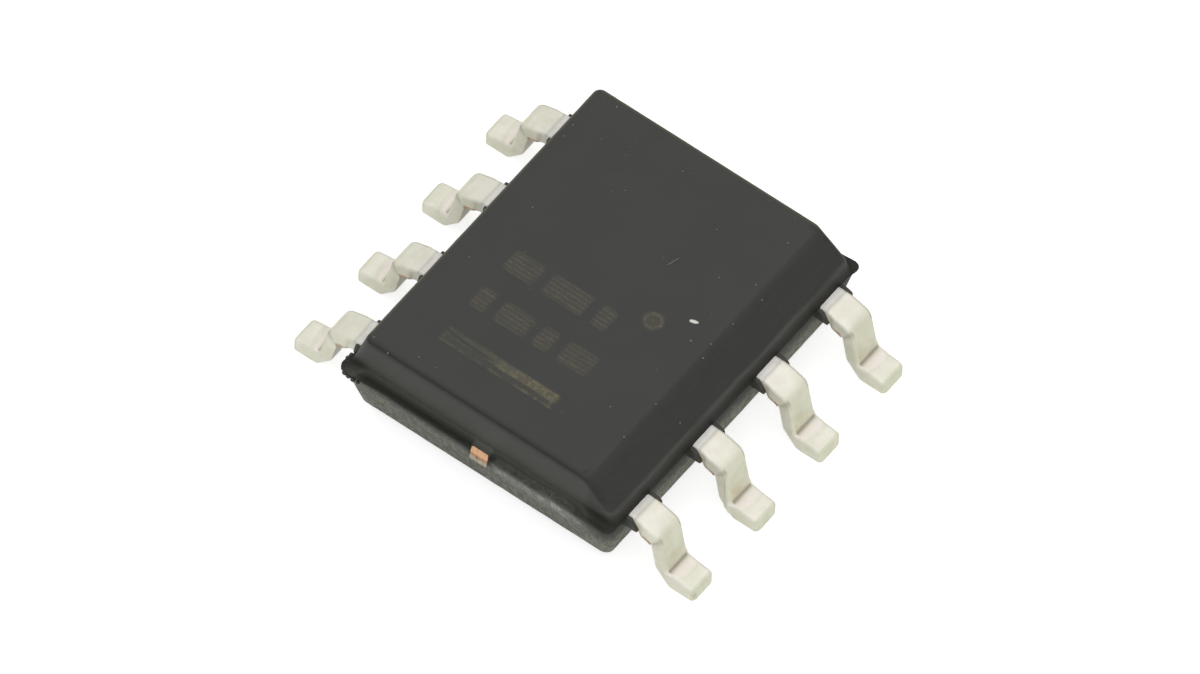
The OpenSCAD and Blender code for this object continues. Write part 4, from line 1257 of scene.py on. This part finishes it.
parts, browns = [], []
for i in range(1, 9):
    s = -1 if i <= 4 else 1
    rng = np.random.RandomState(500 + i)
    for sx in (-1, 1):
        r = lambda a: float(rng.uniform(-a, a))
        drop = (0.15 if sx < 0 else 0.03) + r(0.012)
        reach = 2.160 + r(0.012) + (0.012 if sx > 0 else 0.0) if s < 0 else 2.075 + r(0.010)
        v, f, b = nub(lead_x(i) + sx * LEAD_W / 2, sx, s, reach, (0.050 if s < 0 else 0.036) + r(0.004), drop, 600 + i * 2 + sx)
        parts.append((v, f))
        browns.append(b)
# crumbs of resin hanging on at the far corner
for k, (x, y, z, r) in enumerate([(-2.275, 2.012, 0.925, 0.034), (-2.335, 2.016, 0.930, 0.032), (-2.398, 1.990, 0.925, 0.040), (-2.465, 1.975, 0.915, 0.040),
                                  (-2.502, 1.930, 0.905, 0.042), (-2.512, 1.872, 0.895, 0.036), (-2.508, 1.806, 0.872, 0.036), (-2.505, 1.742, 0.858, 0.026)]):
    v, f = blob((x, y, z), np.array([r, r * 0.9, r * 0.85]), power=2.4, nu=20, nv=12, seed=640 + k, rough=0.20, cell=0.045)
    parts.append((v, f))
    browns.append(np.zeros(len(v)))
nubV, nubF = join_parts(parts)
nubs = make_object("nubs", nubV, nubF, attrs={"mark": np.zeros(len(nubV)), "flash": np.zeros(len(nubV)), "low": np.full(len(nubV), 0.15),
                                              "wall": np.full(len(nubV), 0.45), "free": np.ones(len(nubV)), "brown": np.concatenate(browns),
                                              "yside": np.zeros(len(nubV)), "painted_edge_shade": np.zeros(len(nubV))}, mats=[M_MOULD, M_DUST, M_FAINT])

dust = [blob((0.275, -1.171, TOP_Z + 0.004), np.array([0.060, 0.024, 0.015]), power=2.2, nu=18, nv=10, seed=701, rough=0.25, cell=0.03, turn=-1.2),
        blob((0.829, -0.451, TOP_Z + 0.002), np.array([0.100, 0.0085, 0.006]), power=2.0, nu=16, nv=8, seed=702, rough=0.2, cell=0.03, turn=-0.29)]
SPECKS = [(2.214, 1.434, 11), (1.680, 1.691, 9), (1.485, 1.680, 8), (1.886, -1.369, 12), (1.162, -1.433, 10), (1.031, -1.620, 9), (0.539, -1.556, 10),
          (-0.077, -1.569, 12), (0.033, -1.308, 13), (0.145, -1.522, 10), (-1.573, -1.512, 11), (-0.955, -1.526, 9), (-1.000, -1.917, 9),
          (-2.249, 1.711, 12), (-2.335, 1.440, 10), (-2.150, 1.113, 10), (-2.153, 0.857, 9), (1.30, 0.62, 8), (0.42, 1.35, 9), (-0.62, 1.52, 8),
          (1.95, 0.25, 8), (0.98, -1.02, 8), (-1.32, -1.12, 9), (1.52, -0.58, 7)]
for k, (x, y, r) in enumerate(SPECKS):
    z = TOP_Z
    if y < TOP_YN:                                          # seen on the bevel
        t = -0.805 * (y - TOP_YN)
        x, y = x + 0.468 * t, y + 0.324 * t
        z = TOP_Z + (y - TOP_YN) * 0.385 / 0.43
    rr = r * 0.0014
    dust.append(blob((x, y, z + rr * 0.10), np.array([rr * 1.1, rr * 0.9, rr * 0.5]), power=2.1, nu=9, nv=6, seed=710 + k, rough=0.3, cell=0.02, turn=0.7 * k))
dV, dF = join_parts(dust)
dust_o = make_object("dust", dV, dF, attrs={n: np.zeros(len(dV)) for n in ("mark", "flash", "low", "wall", "brown", "free", "yside", "painted_edge_shade")}, mats=[M_MOULD, M_DUST, M_FAINT],
                     mat_index=[1] * len(dust[0][1]) + [2] * (len(dF) - len(dust[0][1])))

bpy.ops.object.select_all(action="DESELECT")
bpy.context.view_layer.objects.active = body
for o in (body, nubs, dust_o):
    o.select_set(True)
bpy.ops.object.join()
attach(body, "root")
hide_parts("mould_body")

for i in range(1, 9):
    o = build_lead(i, [M_TIN])
    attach(o, "root")
    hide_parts("lead_%d" % i)

pad = build_pad([M_CU])
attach(pad, "root")
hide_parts("die_pad")


def dress(name, mat):
    o = nodes[name]
    o.data.materials.clear()
    o.data.materials.append(mat)


dress("die_attach", M_GLUE)
dress("die", M_SI)
for i in range(1, 9):
    dress("bond_wire_%d" % i, M_GOLD)
    for p in nodes["bond_wire_%d" % i].data.polygons:
        p.use_smooth = True

# ---------------------------------------------------------------------------
# floor, light, camera
# ---------------------------------------------------------------------------
def floor_sheet(name, z, albedo, glow):
    """A pale floor; nothing is seen of it from below."""
    m = bpy.data.materials.new(name)
    m.use_nodes = True
    t = m.node_tree
    b = t.nodes["Principled BSDF"]
    b.inputs["Base Color"].default_value = (albedo, albedo, albedo * 0.995, 1)
    b.inputs["Roughness"].default_value = 0.9
    b.inputs["Specular IOR Level"].default_value = 0.0
    b.inputs["Emission Color"].default_value = (1, 1, 1, 1)
    b.inputs["Emission Strength"].default_value = glow
    out = [n for n in t.nodes if n.type == "OUTPUT_MATERIAL"][0]
    geo = t.nodes.new("ShaderNodeNewGeometry")
    clear = t.nodes.new("ShaderNodeBsdfTransparent")
    mix = t.nodes.new("ShaderNodeMixShader")
    t.links.new(geo.outputs["Backfacing"], mix.inputs[0])
    t.links.new(b.outputs[0], mix.inputs[1])
    t.links.new(clear.outputs[0], mix.inputs[2])
    t.links.new(mix.outputs[0], out.inputs["Surface"])
    bpy.ops.mesh.primitive_plane_add(size=0.6, location=(0, 0, z))
    o = bpy.context.object
    o.name = name
    o.data.materials.append(m)
    return o


# one sheet is what the camera sees, the other what lights the object from below
seen = floor_sheet("floor_seen", -0.000002, 0.52, 0.72)
seen.visible_diffuse = seen.visible_glossy = seen.visible_shadow = seen.visible_transmission = False
lit = floor_sheet("floor_light", -0.000004, 0.80, 0.20)
lit.visible_camera = False

world = bpy.data.worlds.new("soft_studio")
bpy.context.scene.world = world
world.use_nodes = True
wt = world.node_tree
wt.nodes.clear()
wo = wt.nodes.new("ShaderNodeOutputWorld")
bg = wt.nodes.new("ShaderNodeBackground")
tc = wt.nodes.new("ShaderNodeTexCoord")
sp = wt.nodes.new("ShaderNodeSeparateXYZ")
rp = wt.nodes.new("ShaderNodeValToRGB")
wt.links.new(tc.outputs["Generated"], sp.inputs[0])
wt.links.new(sp.outputs[2], rp.inputs[0])
stops = [(0.0, 0.36), (0.22, 0.34), (0.45, 0.50), (0.70, 1.12), (1.0, 1.35)]
cr = rp.color_ramp
cr.interpolation = "EASE"
cr.elements[0].position, cr.elements[0].color = stops[0][0], (*[stops[0][1]] * 3, 1)
cr.elements[1].position, cr.elements[1].color = stops[-1][0], (*[stops[-1][1]] * 3, 1)
for p, v in stops[1:-1]:
    e = cr.elements.new(p)
    e.color = (v, v, v, 1)
bg2 = wt.nodes.new("ShaderNodeBackground")
bg2.inputs[0].default_value = (0.93, 0.93, 0.93, 1)
lp = wt.nodes.new("ShaderNodeLightPath")
mx = wt.nodes.new("ShaderNodeMixShader")
wt.links.new(rp.outputs[0], bg.inputs[0])
wt.links.new(lp.outputs["Is Camera Ray"], mx.inputs[0])
wt.links.new(bg.outputs[0], mx.inputs[1])
wt.links.new(bg2.outputs[0], mx.inputs[2])
wt.links.new(mx.outputs[0], wo.inputs[0])


def area(name, loc_mm, size_mm, power, target=(0, 0, 0.8)):
    d = bpy.data.lights.new(name, "AREA")
    d.shape = "DISK"
    d.size = size_mm * MM
    d.energy = power
    o = bpy.data.objects.new(name, d)
    o.location = Vector(loc_mm) * MM
    v = Vector(target) * MM - o.location
    o.rotation_mode = "QUATERNION"
    o.rotation_quaternion = v.to_track_quat("-Z", "Y")
    bpy.context.scene.collection.objects.link(o)
    return o


area("soft_key", (-95, -70, 150), 110, 0.040)

# camera: a long lens looking down at 55 degrees from the corner of leads 1 and 8's end
u = Vector((0.60011897, -0.7994568, 0.02694535))
v = Vector((-0.64861614, -0.50605073, -0.56851541))
w = Vector((0.46813922, 0.32369969, -0.82223122))
PX = 83.5518
DIST = 588.0
cx, cy = (600 - 598.2487) / PX, (337 - 360.9066) / PX
cam_d = bpy.data.cameras.new("camera")
cam = bpy.data.objects.new("camera", cam_d)
bpy.context.scene.collection.objects.link(cam)
cam.matrix_world = Matrix((
    (u.x, -v.x, -w.x, 0), (u.y, -v.y, -w.y, 0), (u.z, -v.z, -w.z, 0), (0, 0, 0, 1)))
cam.location = (u * cx + v * cy - w * DIST) * MM
cam_d.sensor_fit = "HORIZONTAL"
cam_d.sensor_width = 36.0
cam_d.lens = PX * DIST * 36.0 / 1200.0
cam_d.clip_start = 0.05
cam_d.clip_end = 5.0
cam_d.dof.use_dof = False
bpy.context.scene.camera = cam
bpy.context.scene.view_settings.view_transform = "Standard"
